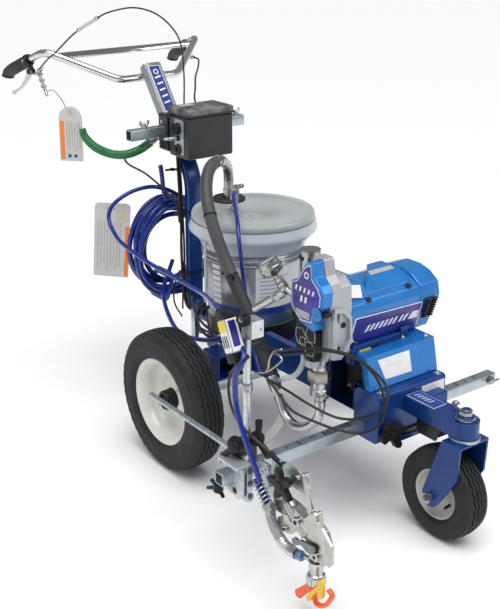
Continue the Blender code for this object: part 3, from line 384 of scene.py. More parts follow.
BLACK_PAINT = surface("black_paint", (0.014, 0.014, 0.016), 0.1, 0.36, shine=0.30, coat=0.2, vary=0.15,
                      bump=0.05)
BOX_BLACK = surface("box_black", (0.022, 0.024, 0.029), 0.0, 0.36, shine=0.35, coat=0.15, vary=0.15, scale=7,
                    bump=0.20,
                    bump_scale=1200)
# lid mottled from mid grey to near black, lighter than the black box below it
BOX_LID = surface("box_lid_mottled_grey", (0.20, 0.20, 0.20), 0.0, 0.52, scale=26, bump=0.2, bump_scale=1200,
                  second=(0.030, 0.030, 0.034))
CABLE = surface("cable_black", (0.020, 0.020, 0.021), 0.0, 0.38, shine=0.35, vary=0.1)
RUBBER = surface("grip_rubber", (0.020, 0.021, 0.023), 0.0, 0.55, vary=0.15, bump=0.25, bump_scale=600)
HOSE_GREY = surface("suction_hose_rubber", (0.060, 0.062, 0.064), 0.0, 0.48, shine=0.4, vary=0.14, scale=12,
                    bump=0.1)
TYRE = surface("tyre_rubber", (0.020, 0.022, 0.024), 0.0, 0.62, shine=0.25, vary=0.25, scale=24,
               rough_vary=0.12, bump=0.25,
               bump_scale=450)
BLUE_HOSE = surface("blue_hose", (0.006, 0.024, 0.230), 0.0, 0.22, shine=0.4, coat=0.4, vary=0.12, scale=8)
GREEN = wave_bump(surface("green_sleeve", (0.010, 0.150, 0.045), 0.0, 0.40, vary=0.15, scale=60), "X", 60,
                  0.6)
GREEN_WIRE = surface("green_wire", (0.04, 0.22, 0.08), 0.0, 0.4, vary=0.1)
CLEAR = surface("clear_collar", (0.72, 0.78, 0.84), 0.0, 0.16, vary=0.05, scale=8, alpha=0.62)
LID_GREY = surface("translucent_lid", (0.42, 0.45, 0.46), 0.0, 0.26, coat=0.2, vary=0.08, scale=6, alpha=0.93)
ORANGE = surface("orange_guard", (0.90, 0.10, 0.025), 0.0, 0.36, coat=0.2, vary=0.06)
YELLOW = surface("yellow_tip", (0.85, 0.50, 0.02), 0.0, 0.36, coat=0.2, vary=0.06)
BLUE_NUT = surface("blue_nut", (0.16, 0.30, 0.48), 0.7, 0.35, vary=0.1)
TAG = surface("tag_plastic", (0.58, 0.57, 0.55), 0.0, 0.40, vary=0.04, scale=30)
CORD = wave_bump(surface("braided_cord", (0.72, 0.73, 0.74), 0.0, 0.65, vary=0.15, scale=300), "Z", 130, 1.0)
BRAID = surface("steel_braid", (0.40, 0.41, 0.42), 0.9, 0.42, vary=0.75, scale=700, bump=1.0, bump_scale=1500)
# near-black: painted shade inside holes, slots, vents and wells, and also black print and small black parts
HOLE_SHADE_AND_BLACK = surface("painted_hole_shade_and_black", (0.006, 0.006, 0.007), 0.0, 0.7, vary=0.1)


# ---------------------------------------------------------------- wheels
def grooved_tyre(name, body, hub, radius, width, bead, material, grooves=4, waves=42, side=1):
    """A tyre with zig-zag grooves cut round its tread and fine ribs on its shoulders."""
    half = width / 2
    steps = waves * 4
    wall = bead + (radius - bead) * 0.42
    profile = [(bead, -half * 0.60), (bead + 0.004, -half * 0.74), (wall - 0.012, -half * 0.985),
               (wall, -half), (wall + 0.012, -half * 0.985), (radius - 0.026, -half * 0.965),
               (radius - 0.022, -half * 0.985), (radius - 0.012, -half * 0.90),
               (radius - 0.005, -half * 0.78)]
    rows = [(r, h, 0.0, 1.0 if 4 <= i <= 7 else 0.0) for i, (r, h) in enumerate(profile)]
    tread = half * 0.72
    land = 2 * tread / (grooves + 1)
    slot = half * 0.045
    for k in range(grooves):
        centre = -tread + land * (k + 1)
        for shift, depth in ((-slot * 1.35, 0.0), (-slot * 0.7, 0.0045), (slot * 0.7, 0.0045),
                             (slot * 1.35, 0.0)):
            across = centre + shift
            crown = radius - 0.0045 * (across / tread) ** 2
            rows.append((crown - depth, across, half * 0.055, 0.0))
    rows += [(r, -h, 0.0, 1.0 if 4 <= i <= 7 else 0.0) for i, (r, h) in reversed(list(enumerate(profile)))]
    shape = Shape()
    rings = []
    for r, h, zigzag, rib in rows:
        ring = []
        for k in range(steps):
            angle = math.tau * k / steps
            sway = zigzag * (1, 0, -1, 0)[k % 4]
            notch = rib * 0.0009 * (1 if k % 4 < 2 else -1)
            ring.append(shape.bm.verts.new(Vector(hub) + Vector(((r + notch) * math.sin(angle), h + sway,
                                                                 (r + notch) * math.cos(angle)))))
        rings.append(ring)
    for one, two in [*zip(rings, rings[1:]), (rings[-1], rings[0])]:
        for k in range(steps):
            n = (k + 1) % steps
            shape.bm.faces.new((one[k], one[n], two[n], two[k]))
    return shape.piece(name, material, body, smooth=30)


def build_rear_wheels():
    for name, side in (("right", -1), ("left", 1)):
        body = "rear_wheel_" + name
        hub = pivot(body + "_spin")
        radius = high("rear_tyre_" + name).z - hub.z
        width = (high("rear_tyre_" + name) - low("rear_tyre_" + name)).y
        rim = 0.126
        tyre = grooved_tyre("rear_tyre_tread_" + name, body, hub, radius, width, rim - 0.010, TYRE)
        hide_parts("rear_tyre_" + name)
        dish = [(rim - 0.014, -0.034), (rim - 0.010, -0.030), (rim - 0.003, -0.0335), (rim, -0.0365),
                (rim + 0.001, -0.040),
                (rim - 0.002, -0.0425), (rim - 0.005, -0.0405), (rim - 0.010, -0.036), (rim - 0.016, -0.032),
                (0.103, -0.010), (0.101, 0.004), (0.094, 0.012), (0.072, 0.016), (0.060, 0.012),
                (0.045, 0.004),
                (0.031, 0.002), (0.029, 0.005), (0.029, 0.012), (0.045, 0.012), (0.060, 0.020),
                (0.072, 0.024),
                (0.100, 0.020), (0.107, 0.010), (rim - 0.018, 0.032), (rim - 0.004, 0.041), (rim, 0.040),
                (rim - 0.010, 0.030)]
        shape = Shape().turned([(r, -h) for r, h in dish], hub, (0, side, 0), 72)
        rim_piece = shape.piece("rear_rim_dish_" + name, CREAM, body, smooth=50)
        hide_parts("rear_rim_" + name)
        out = Vector((0, side, 0))
        Shape().turned([(0.0092, -0.048), (0.026, -0.048), (0.0285, -0.044), (0.0285, 0.024), (0.026, 0.028),
                        (0.020, 0.028),
                        (0.018, 0.020), (0.0092, 0.020)], hub, out, 28).piece("rear_hub_" + name, BLACK, body)
        spoke = Vector((0.62, 0, 0.55)).normalized()
        start = hub + spoke * 0.088 + out * 0.001 - out * 0.014
        stem = Shape().rod(start, start + out * 0.034 + spoke * -0.004, 0.0052, 12)
        stem.rod(start, start + out * 0.012, 0.008, 12)
        stem.piece("valve_stem_" + name, BLACK, body)


def build_caster():
    hub = pivot("caster_wheel_spin")
    radius = high("caster_tyre").z - hub.z
    width = (high("caster_tyre") - low("caster_tyre")).y
    hub_radius = 0.066
    tyre = grooved_tyre("caster_tyre_tread", "caster_wheel", hub, radius, width, hub_radius - 0.003, TYRE, 4,
                        30)
    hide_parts("caster_tyre")
    profile = [(0.0075, 0.040), (0.0170, 0.040), (0.0190, 0.036), (0.0210, 0.016), (0.030, 0.012),
               (0.052, 0.017),
               (0.060, 0.026), (0.0625, 0.031), (0.0665, 0.033), (0.068, 0.030), (0.0655, 0.026)]
    both = profile + [(r, -h) for r, h in reversed(profile)]
    rim = Shape().turned(both, hub, Y, 56).piece("caster_rim_disc", GREY_HUB, "caster_wheel", smooth=45)
    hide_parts("caster_rim")
    stem = Shape().rod(hub + Vector((0.036, -0.010, -0.020)), hub + Vector((0.038, -0.034, -0.022)), 0.004,
                       10)
    stem.piece("caster_valve", BLACK, "caster_wheel")

    dress("caster_fork", BLUE, 0.0016)
    dress("caster_axle", ZINC, 0.0008)
    face = low("caster_fork").y
    Shape().bolt((hub.x, face - 0.0125, hub.z), -Y, 0.0095, height=0.8).piece("caster_axle_nut", STEEL,
        "caster_fork")
    far = high("caster_fork").y
    Shape().bolt((hub.x, far + 0.0125, hub.z), Y, 0.0095, height=0.8).piece("caster_axle_head", STEEL,
        "caster_fork")
    pin = pivot("caster_swivel")
    top = high("front_arm").z
    washer = Shape().turned([(0.0130, 0), (0.0255, 0), (0.0265, 0.001), (0.0265, 0.003), (0.0130, 0.003)],
                            (pin.x, pin.y, top + 0.0006), Z, 36)
    washer.turned([(0.013, 0.0032), (0.0225, 0.0032), (0.0235, 0.0045), (0.0225, 0.0075), (0.013, 0.0075)],
                  (pin.x, pin.y, top), Z, 36)
    washer.piece("kingpin_washers", STEEL, "caster_fork")
    nut = Shape().turned([(0.011, 0.008), (0.0165, 0.008), (0.0175, 0.010), (0.0175, 0.021), (0.0155, 0.024),
                          (0.011, 0.024)], (pin.x, pin.y, top), Z, 6)
    nut.turned([(0.009, 0.020), (0.0135, 0.020), (0.0135, 0.026), (0.009, 0.028)], (pin.x, pin.y, top), Z, 24)
    nut.piece("kingpin_nut", STEEL, "caster_fork")
    seat = low("front_arm").z
    Shape().turned([(0.013, 0), (0.0385, 0), (0.0395, 0.0015), (0.0395, 0.0065), (0.036, 0.0080),
                    (0.013, 0.0080)],
                   (pin.x, pin.y, seat - 0.0090), Z, 48).piece("thrust_plate", ZINC, "caster_fork")


# ---------------------------------------------------------------- frame, battery and front end
def build_frame():
    dress("frame_tray", BLUE, 0.0018)
    dress("rear_axle", ZINC)
    dress("drive_cradle", BLUE, 0.0012)
    dress("mast", BLUE, 0.0)
    dress("battery_pack", BLACK, 0.002)
    edge, floor = low("frame_tray"), high("frame_tray").z
    # bolts on the tray and on its side behind the wheel, posts and a wire by the pail, and a plate across the
    # tray's back
    for side, name in ((-1, "right"), (1, "left")):
        out = Vector((0, side, 0))
        bolts = Shape().bolt((-0.020, side * 0.150, floor), Z, 0.008)
        bolts.bolt((0.004, side * 0.150, 0.2262), Z, 0.008)
        bolts.bolt((-0.030, side * (high("frame_tray").y + 0.0004), 0.262), out, 0.008)
        bolts.bolt((0.004, side * 0.100, floor), Z, 0.006)
        bolts.piece("tray_bolts_" + name, ZINC, "chassis")
    posts = Shape()
    for x, top in ((-0.176, 0.372), (-0.036, 0.345)):
        posts.box((x - 0.010, -0.160, floor - 0.018), (x + 0.010, -0.146, top))
    posts.box((-0.182, -0.150, floor + 0.001), (-0.150, -0.124, floor + 0.006))
    posts.piece("pail_posts", ZINC, "chassis", bevel=0.001)
    Shape().tube(curve([(-0.166, -0.152, 0.352), (-0.120, -0.168, 0.322), (-0.060, -0.166, 0.312),
                        (-0.030, -0.152, 0.322)]), 0.0028, 8).piece("tray_wire", STEEL, "chassis")
    rear = low("frame_tray").x
    Shape().box((rear + 0.001, -0.112, 0.240), (rear + 0.006, 0.112, 0.290)).piece("tray_back_plate", BLUE,
        "chassis",
                                                                               bevel=0.001)


def build_front():
    dress("front_box", BLUE, 0.0030)
    dress("front_arm", BLUE, 0.0022)
    dress("caster_lock", BLACK_PAINT, 0.0015)
    dress("battery_tray", DARK_BLUE, 0.0015)
    dress("battery_cover", BRIGHT_BLUE, 0.0030)
    lo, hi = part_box("front_box")
    front = hi.x
    # slanted front of the battery cover: its bottom and top edges
    foot, brow = Vector((0.5615, 0, 0.3745)), Vector((0.5425, 0, 0.4545))
    up = (brow - foot).normalized()
    out = Vector((up.z, 0, -up.x))
    label = rounded([(-0.066, 0.018), (0.026, 0.016), (0.026, 0.072), (-0.084, 0.072)], 0.002, 2)
    Shape().plate(label, foot + out * 0.0002, Y, up, 0.0006).piece("cover_label", LABEL_WHITE, "chassis")
    marks = Shape()
    marks.plate([(-0.058, 0.050), (-0.006, 0.047), (-0.006, 0.050), (-0.058, 0.053)], foot + out * 0.0008, Y,
                up, 0.0003)
    marks.piece("cover_label_lines", LABEL_FAINT, "chassis")
    top = high("battery_cover").z
    bolts = Shape()
    for x, y in ((0.528, 0.100), (0.500, 0.045)):
        bolts.bolt((x, y, top), Z, 0.0065)
    bolts.bolt((0.578, 0.100, hi.z), Z, 0.0070)
    bolts.bolt((0.578, -0.100, hi.z), Z, 0.0070)
    for y in (-0.070, 0.095):
        bolts.bolt((0.560, y, lo.z + 0.001), -Z, 0.006)
    bolts.piece("front_bolts", ZINC, "chassis")
    flange = Shape().box((front + 0.0004, 0.030, hi.z - 0.068), (front + 0.0010, 0.113, hi.z - 0.012))
    flange.piece("front_label", LABEL_WHITE, "chassis")
    rows = Shape()
    for k in range(4):
        rows.box((front + 0.0010, 0.040, hi.z - 0.058 + k * 0.008),
                 (front + 0.0013, 0.085 - k * 0.008, hi.z - 0.055 + k * 0.008))
    rows.box((front + 0.0010, 0.090, hi.z - 0.060), (front + 0.0013, 0.108, hi.z - 0.046))
    rows.piece("front_label_lines", LABEL_GREY, "chassis")
    Shape().box((front + 0.0006, 0.040, 0.306), (front + 0.034, 0.094, 0.340)).piece("stop_block", BLUE,
        "chassis",
                                                                                   bevel=0.003)
    # dark strip and lip under the front box
    Shape().box((front - 0.014, -0.050, lo.z - 0.004), (front + 0.006, 0.112, lo.z + 0.020)).piece(
        "under_strip", BLACK_PAINT, "chassis", bevel=0.002)
    Shape().box((front + 0.0065, -0.045, lo.z - 0.006), (front + 0.010, 0.112, lo.z + 0.006)).piece(
        "under_lip", BLUE, "chassis", bevel=0.001)
    # arm: label plate on top, clamp bolt and lock details
    arm_top = high("front_arm").z
    Shape().box((0.5945, -0.0245, arm_top + 0.0002),
                (0.690, 0.0205, arm_top + 0.0008)).piece("arm_label_border",
                                                                                          LABEL_WHITE,
                                                                                              "chassis")
    Shape().box((0.5960, -0.0230, arm_top + 0.0009), (0.6885, 0.0190, arm_top + 0.0013)).piece("arm_label",
        LABEL_BLUE,
                                                                                           "chassis")
    stripes = Shape()
    for k in range(5):
        start = 0.606 + 0.012 * k
        stripes.plate([(start, -0.010), (start + 0.005, -0.010), (start + 0.009, 0.008),
                       (start + 0.004, 0.008)],
                      (0, 0, arm_top + 0.0014), X, Y, 0.0003)
    stripes.piece("arm_label_stripes", LABEL_GREY, "chassis")
    pin = Shape().rod((0.722, 0.018, arm_top), (0.722, 0.018, arm_top + 0.020), 0.0055, 12)
    pin.bolt((0.722, 0.018, arm_top + 0.016), Z, 0.0075)
    pin.piece("arm_clamp_bolt", ZINC, "chassis")
    Shape().tube(curve([(0.726, 0.014, arm_top + 0.003), (0.745, 0.026, arm_top + 0.004),
                        (0.757, 0.024, arm_top + 0.004),
                        (0.752, 0.010, arm_top + 0.003)]), 0.0016, 6).piece("arm_wire", STEEL, "chassis")
    guard = [(0.640, 0.262), (0.700, 0.262), (0.712, 0.290), (0.712, 0.3052), (0.632, 0.3052), (0.632, 0.276)]
    Shape().prism(rounded(guard, 0.003, 2), "y", -0.0225, -0.0185).piece("lock_cheek", BLACK_PAINT, "chassis",
                                                                   bevel=0.0008)
    # inside of the open battery bay
    bay = Shape().bolt((0.470, -0.0705, 0.330), -Y, 0.007)
    bay.bolt((0.430, -0.0705, 0.330), -Y, 0.007)
    bay.piece("bay_bolts", STEEL, "chassis")


def build_knobs():
    place = pivot("bar_knob_turn")
    wing = Shape()
    bow = [(-0.036, 0.010), (-0.034, -0.008), (-0.026, -0.018), (-0.006, -0.010), (0.006, -0.022),
           (0.016, -0.040),
           (0.030, -0.044), (0.036, -0.034), (0.024, -0.010), (0.030, 0.006), (0.036, 0.016), (0.030, 0.026),
           (0.012, 0.016),
           (0.004, 0.020), (-0.004, 0.036), (-0.014, 0.040), (-0.024, 0.028), (-0.018, 0.012)]
    wing.plate(rounded(bow, 0.005, 3), place + X * 0.006, Y, Z, 0.017)
    wing.rod(place + X * 0.0005, place + X * 0.027, 0.0115, 18)
    knob = wing.piece("bar_wing_knob", BLACK, "bar_knob", bevel=0.0015)
    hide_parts("bar_knob")


# ---------------------------------------------------------------- mast, control box and handle
UP = Vector(JOINTS["handle_height"]["axis"]).normalized()
AHEAD = Vector((UP.z, 0, -UP.x))
POST_LOW, POST_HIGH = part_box("handle_post")
POST_HALF = 0.016
POST_TOP = Vector((POST_LOW.x + POST_HALF * UP.z, 0, POST_HIGH.z + POST_HALF * UP.x))


def on_post(down, forward=0.0, across=0.0):
    return POST_TOP - UP * down + AHEAD * forward + Y * across


def build_mast():
    lo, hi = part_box("mast_bracket")
    dress("mast_bracket", BLACK_PAINT, 0.002)
    dress("accessory_tube", ZINC, 0.0008)
    tube_lo, tube_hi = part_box("accessory_tube")
    mid = middle("accessory_tube")
    bolts = Shape()
    for y in (-0.062, 0.062):
        bolts.bolt((mid.x - 0.018, y, hi.z + 0.0002), Z, 0.007)
    bolts.bolt((-0.440, lo.y - 0.0002, 0.882), -Y, 0.0075)
    bolts.bolt((-0.452, lo.y - 0.0002, 0.812), -Y, 0.0065)
    bolts.piece("bracket_bolts", ZINC, "chassis")
    wings = Shape()
    for y in (tube_lo.y + 0.055, tube_hi.y - 0.024):
        wings.rod((mid.x, y, tube_hi.z - 0.004), (mid.x, y, tube_hi.z + 0.016), 0.005, 12)
        wings.turned([(0.005, 0), (0.010, 0), (0.008, 0.008), (0.005, 0.008)], (mid.x, y, tube_hi.z + 0.001),
                     Z, 16)
        for side in (-1, 1):
            wings.tube(curve([(mid.x, y + side * 0.006, tube_hi.z + 0.006),
                              (mid.x, y + side * 0.014, tube_hi.z + 0.014),
                              (mid.x, y + side * 0.012, tube_hi.z + 0.022)]), 0.0042, 8, flat=0.5, side=X)
    wings.piece("accessory_wing_bolts", ZINC, "chassis")
    # small cheek plates that hold the tube, in front of the box bracket
    cheek = Shape().box((-0.452, lo.y - 0.006, 0.800), (-0.406, lo.y - 0.001, 0.902))
    cheek.piece("bracket_cheek_right", BLACK_PAINT, "chassis", bevel=0.0015)
    cheek = Shape().box((-0.452, hi.y + 0.001, 0.800), (-0.406, hi.y + 0.006, 0.902))
    cheek.piece("bracket_cheek_left", BLACK_PAINT, "chassis", bevel=0.0015)

    ties = Shape()
    for z, lean in ((0.724, 0.030), (0.600, 0.0), (0.395, 0.0)):
        x0 = -0.4145 - lean
        outline = rounded([(x0 - 0.012, -0.040), (x0 + 0.028, -0.0295), (x0 + 0.028, 0.0295),
                           (x0 - 0.002, 0.0295)], 0.004, 3)
        inner = rounded([(x0 - 0.010, -0.037), (x0 + 0.0265, -0.0278), (x0 + 0.0265, 0.0278),
                         (x0 - 0.001, 0.0278)], 0.003, 3)
        rows = [[ties.bm.verts.new(Vector((a, b, z + h))) for a, b in ring]
                for h in (-0.0022, 0.0022) for ring in (outline, inner)]
        count = len(outline)
        for one, two in ((0, 2), (1, 3), (0, 1), (2, 3)):
            for k in range(count):
                n = (k + 1) % count
                ties.bm.faces.new((rows[one][k], rows[one][n], rows[two][n], rows[two][k]))
    ties.box((-0.462, -0.045, 0.720), (-0.450, -0.037, 0.728))
    ties.rod((-0.456, -0.044, 0.724), (-0.470, -0.058, 0.721), 0.0035, 8)
    ties.piece("mast_ties", BLACK, "chassis")
    bundle = Shape()
    for k, (dx, dy) in enumerate(((0.0, 0.0), (-0.007, -0.004), (-0.002, -0.008), (-0.011, 0.001))):
        wave = 0.002 * (1 if k % 2 else -1)
        bundle.tube(curve([(-0.425 + dx, -0.034 + dy, 0.790), (-0.421 + dx, -0.034 + dy, 0.725),
                           (-0.415 + dx, -0.033 + dy + wave, 0.660), (-0.413 + dx, -0.033 + dy, 0.560),
                           (-0.413 + dx, -0.033 + dy - wave, 0.470), (-0.412 + dx, -0.033 + dy, 0.395),
                           (-0.405 + dx, -0.034 + dy, 0.320 + 0.01 * k), (-0.380 + dx, -0.036 + dy, 0.288),
                           (-0.300 + dx, -0.044, 0.286), (-0.180, -0.050 + dy, 0.286)]), 0.0034, 8)
    bundle.piece("mast_wire_bundle", CABLE, "chassis")
    stray = Shape().tube(curve([(-0.420, -0.045, 0.400), (-0.428, -0.062, 0.350), (-0.410, -0.075, 0.300),
                                (-0.360, -0.080, 0.270)]), 0.0028, 8)
    stray.tube(curve([(-0.405, -0.040, 0.400), (-0.385, -0.058, 0.340), (-0.370, -0.070, 0.290)]), 0.0028, 8)
    stray.piece("mast_stray_wires", CABLE, "chassis")


def build_control_box():
    dress("control_box", BOX_BLACK, 0.0040)
    dress("control_box_lid", BOX_LID, 0.0035)
    lo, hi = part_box("control_box")
    lid_lo, lid_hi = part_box("control_box_lid")
    face = lo.y
    knob = pivot("pressure_knob_turn")
    centre = knob.x
    panel = Shape().box((centre - 0.0215, face - 0.0022, lo.z + 0.012),
                        (centre + 0.0265, face - 0.0002, hi.z - 0.010))
    panel.piece("control_panel", SILVER, "chassis", bevel=0.0008)
    dial = Shape().turned([(0, 0.0030), (0.0165, 0.0030), (0.0175, 0.0045), (0.0160, 0.014), (0.0135, 0.0165),
                           (0, 0.0165)],
                          (centre, face, knob.z), -Y, 28)
    for angle in range(0, 360, 30):
        a = math.radians(angle)
        spot = Vector((centre + 0.0168 * math.cos(a), face - 0.010, knob.z + 0.0168 * math.sin(a)))
        dial.rod(spot + Y * 0.005, spot - Y * 0.004, 0.0017, 6)
    dial.box((centre - 0.0012, face - 0.0175, knob.z), (centre + 0.0012, face - 0.0164, knob.z + 0.012))
    piece = dial.piece("pressure_dial", BLACK, "pressure_knob")
    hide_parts("pressure_knob")
    ticks = Shape()
    for angle in range(-135, 136, 30):
        a = math.radians(90 - angle)
        spot = Vector((centre + 0.0205 * math.cos(a), face - 0.0023, knob.z + 0.0205 * math.sin(a)))
        ticks.rod(spot, spot - Y * 0.0006, 0.0011, 8)
    ticks.box((centre - 0.012, face - 0.0028, hi.z - 0.036), (centre + 0.012, face - 0.0022, hi.z - 0.022))
    ticks.piece("panel_marks", LABEL_BLUE, "chassis")
    for name, z, radius in (("switch_socket", knob.z - 0.028, 0.0065),
                            ("outlet_socket", knob.z - 0.062, 0.0130)):
        ring = Shape().turned([(radius * 0.6, 0.0005), (radius * 1.05, 0.0005), (radius * 1.25, 0.0024),
                               (radius * 1.2, 0.0060), (radius * 0.6, 0.0060)], (centre, face - 0.002, z), -Y,
                              24)
        ring.rod((centre, face - 0.002, z), (centre, face - 0.005, z), radius * 0.62, 16)
        ring.piece(name, BLACK, "chassis")
    screws = Shape()
    for dx, z in ((-0.017, hi.z - 0.014), (0.022, hi.z - 0.014), (-0.017, lo.z + 0.017),
                  (0.022, lo.z + 0.017)):
        screws.rod((centre + dx, face - 0.0022, z), (centre + dx, face - 0.0036, z), 0.0026, 12)
    screws.piece("panel_screws", STEEL, "chassis")
    latch = Shape().box((lo.x + 0.006, face - 0.010, hi.z - 0.006),
                        (lo.x + 0.026, face - 0.0026, hi.z + 0.0002))
    latch.piece("box_latch", BLACK, "chassis", bevel=0.001)
    lip = Shape()
    for side, y in ((-1, lid_lo.y), (1, lid_hi.y)):
        lip.box((lid_lo.x + 0.004, y - 0.0012, lid_lo.z + 0.0003),
                (lid_hi.x - 0.002, y + 0.0012, lid_lo.z + 0.0060))
    lip.box((lid_hi.x - 0.0012, lid_lo.y + 0.002, lid_lo.z + 0.0003),
            (lid_hi.x + 0.0016, lid_hi.y - 0.002, lid_lo.z + 0.0060))
    lip.piece("lid_lip", BOX_BLACK, "control_box_lid", bevel=0.0008)
    Shape().box((lid_lo.x + 0.012, -0.060, lid_hi.z + 0.0001),
                (lid_lo.x + 0.040, -0.012, lid_hi.z + 0.0006)).piece(
        "lid_label", LABEL_GREY, "control_box_lid")
    plug = Vector((centre, face - 0.008, knob.z - 0.028))
    Shape().rod(plug, plug + Vector((-0.006, -0.024, 0)), 0.0062, 12).rod(
        plug + Vector((-0.006, -0.024, 0)), plug + Vector((-0.016, -0.034, -0.001)), 0.0042, 12).piece(
        "panel_plug", ZINC, "chassis")
    start = plug + Vector((-0.014, -0.033, -0.001))
    path = curve([start, (-0.413, -0.118, 0.838), (-0.455, -0.124, 0.821), (-0.540, -0.124, 0.782),
                  (-0.590, -0.122, 0.756),
                  (-0.613, -0.118, 0.735), (-0.600, -0.108, 0.718), (-0.540, -0.088, 0.700),
                  (-0.472, -0.064, 0.660),
                  (-0.428, -0.047, 0.620), (-0.420, -0.042, 0.560)])
    Shape().tube(path, 0.0032, 8).piece("panel_cable", CABLE, "chassis")


def build_handle():
    dress("handle_post", ALUMINIUM, 0.0010)
    dress("handlebar", CHROME, 0.0)
    grey_side = surface("post_side_grey", (0.30, 0.33, 0.36), 0.6, 0.42, vary=0.06)
    for side, name in ((-1, "right"), (1, "left")):
        origin = on_post(0.002, -0.014, side * 0.0301)
        Shape().plate([(0, 0), (0.028, 0), (0.028, -0.186), (0, -0.186)], origin, AHEAD, UP,
                      -side * 0.0004).piece(
            "post_side_" + name, grey_side, "handle")
    front = 0.0162
    ridges = Shape()
    for across in (-0.0275, -0.0245, 0.0245, 0.0275):
        ridges.plate([(-0.0007, 0), (0.0007, 0), (0.0007, -0.184), (-0.0007, -0.184)],
                     on_post(0.003, front, across),
                     Y, UP, 0.0008)
    ridges.piece("post_ridges", ALUMINIUM, "handle")
    border = rounded([(-0.0200, -0.012), (0.0200, -0.012), (0.0200, -0.176), (-0.0200, -0.176)], 0.003, 3)
    Shape().plate(border, on_post(0.0, front), Y, UP, 0.0005).piece("post_label_border", LABEL_WHITE,
        "handle")
    label = rounded([(-0.0180, -0.014), (0.0180, -0.014), (0.0180, -0.174), (-0.0180, -0.174)], 0.002, 3)
    Shape().plate(label, on_post(0.0, front + 0.0005), Y, UP, 0.0004).piece("post_label", LABEL_BLUE,
        "handle")
    marks = Shape().turned([(0.0058, 0), (0.0092, 0), (0.0092, 0.0004), (0.0058, 0.0004)],
                           on_post(0.034, front + 0.0009), AHEAD, 28)
    for k in range(5):
        down = -0.058 - 0.022 * k
        marks.plate([(-0.011, down), (0.011, down + 0.005), (0.011, down + 0.011), (-0.011, down + 0.006)],
                    on_post(0.0, front + 0.0009), Y, UP, 0.0004)
    marks.piece("post_label_marks", LABEL_WHITE, "handle")
    cap = Shape().box((-0.004, -0.0225, -0.006), (0.004, 0.0225, 0.0))
    bmesh.ops.transform(cap.bm, matrix=Matrix.Translation(on_post(0.010, 0.0)) @ frame_from(UP, AHEAD),
                        verts=cap.bm.verts)
    cap.piece("post_plug", HOLE_SHADE_AND_BLACK, "handle")
    # weld collar between the bar and the post
    Shape().tube([on_post(0.020, -0.0285, -0.026), on_post(0.020, -0.0285, 0.026)], 0.0142,
                 16).piece("bar_saddle", CHROME,
                                                                                       "handle")
    for side, name in ((-1, "right"), (1, "left")):
        build_grip(side, name)


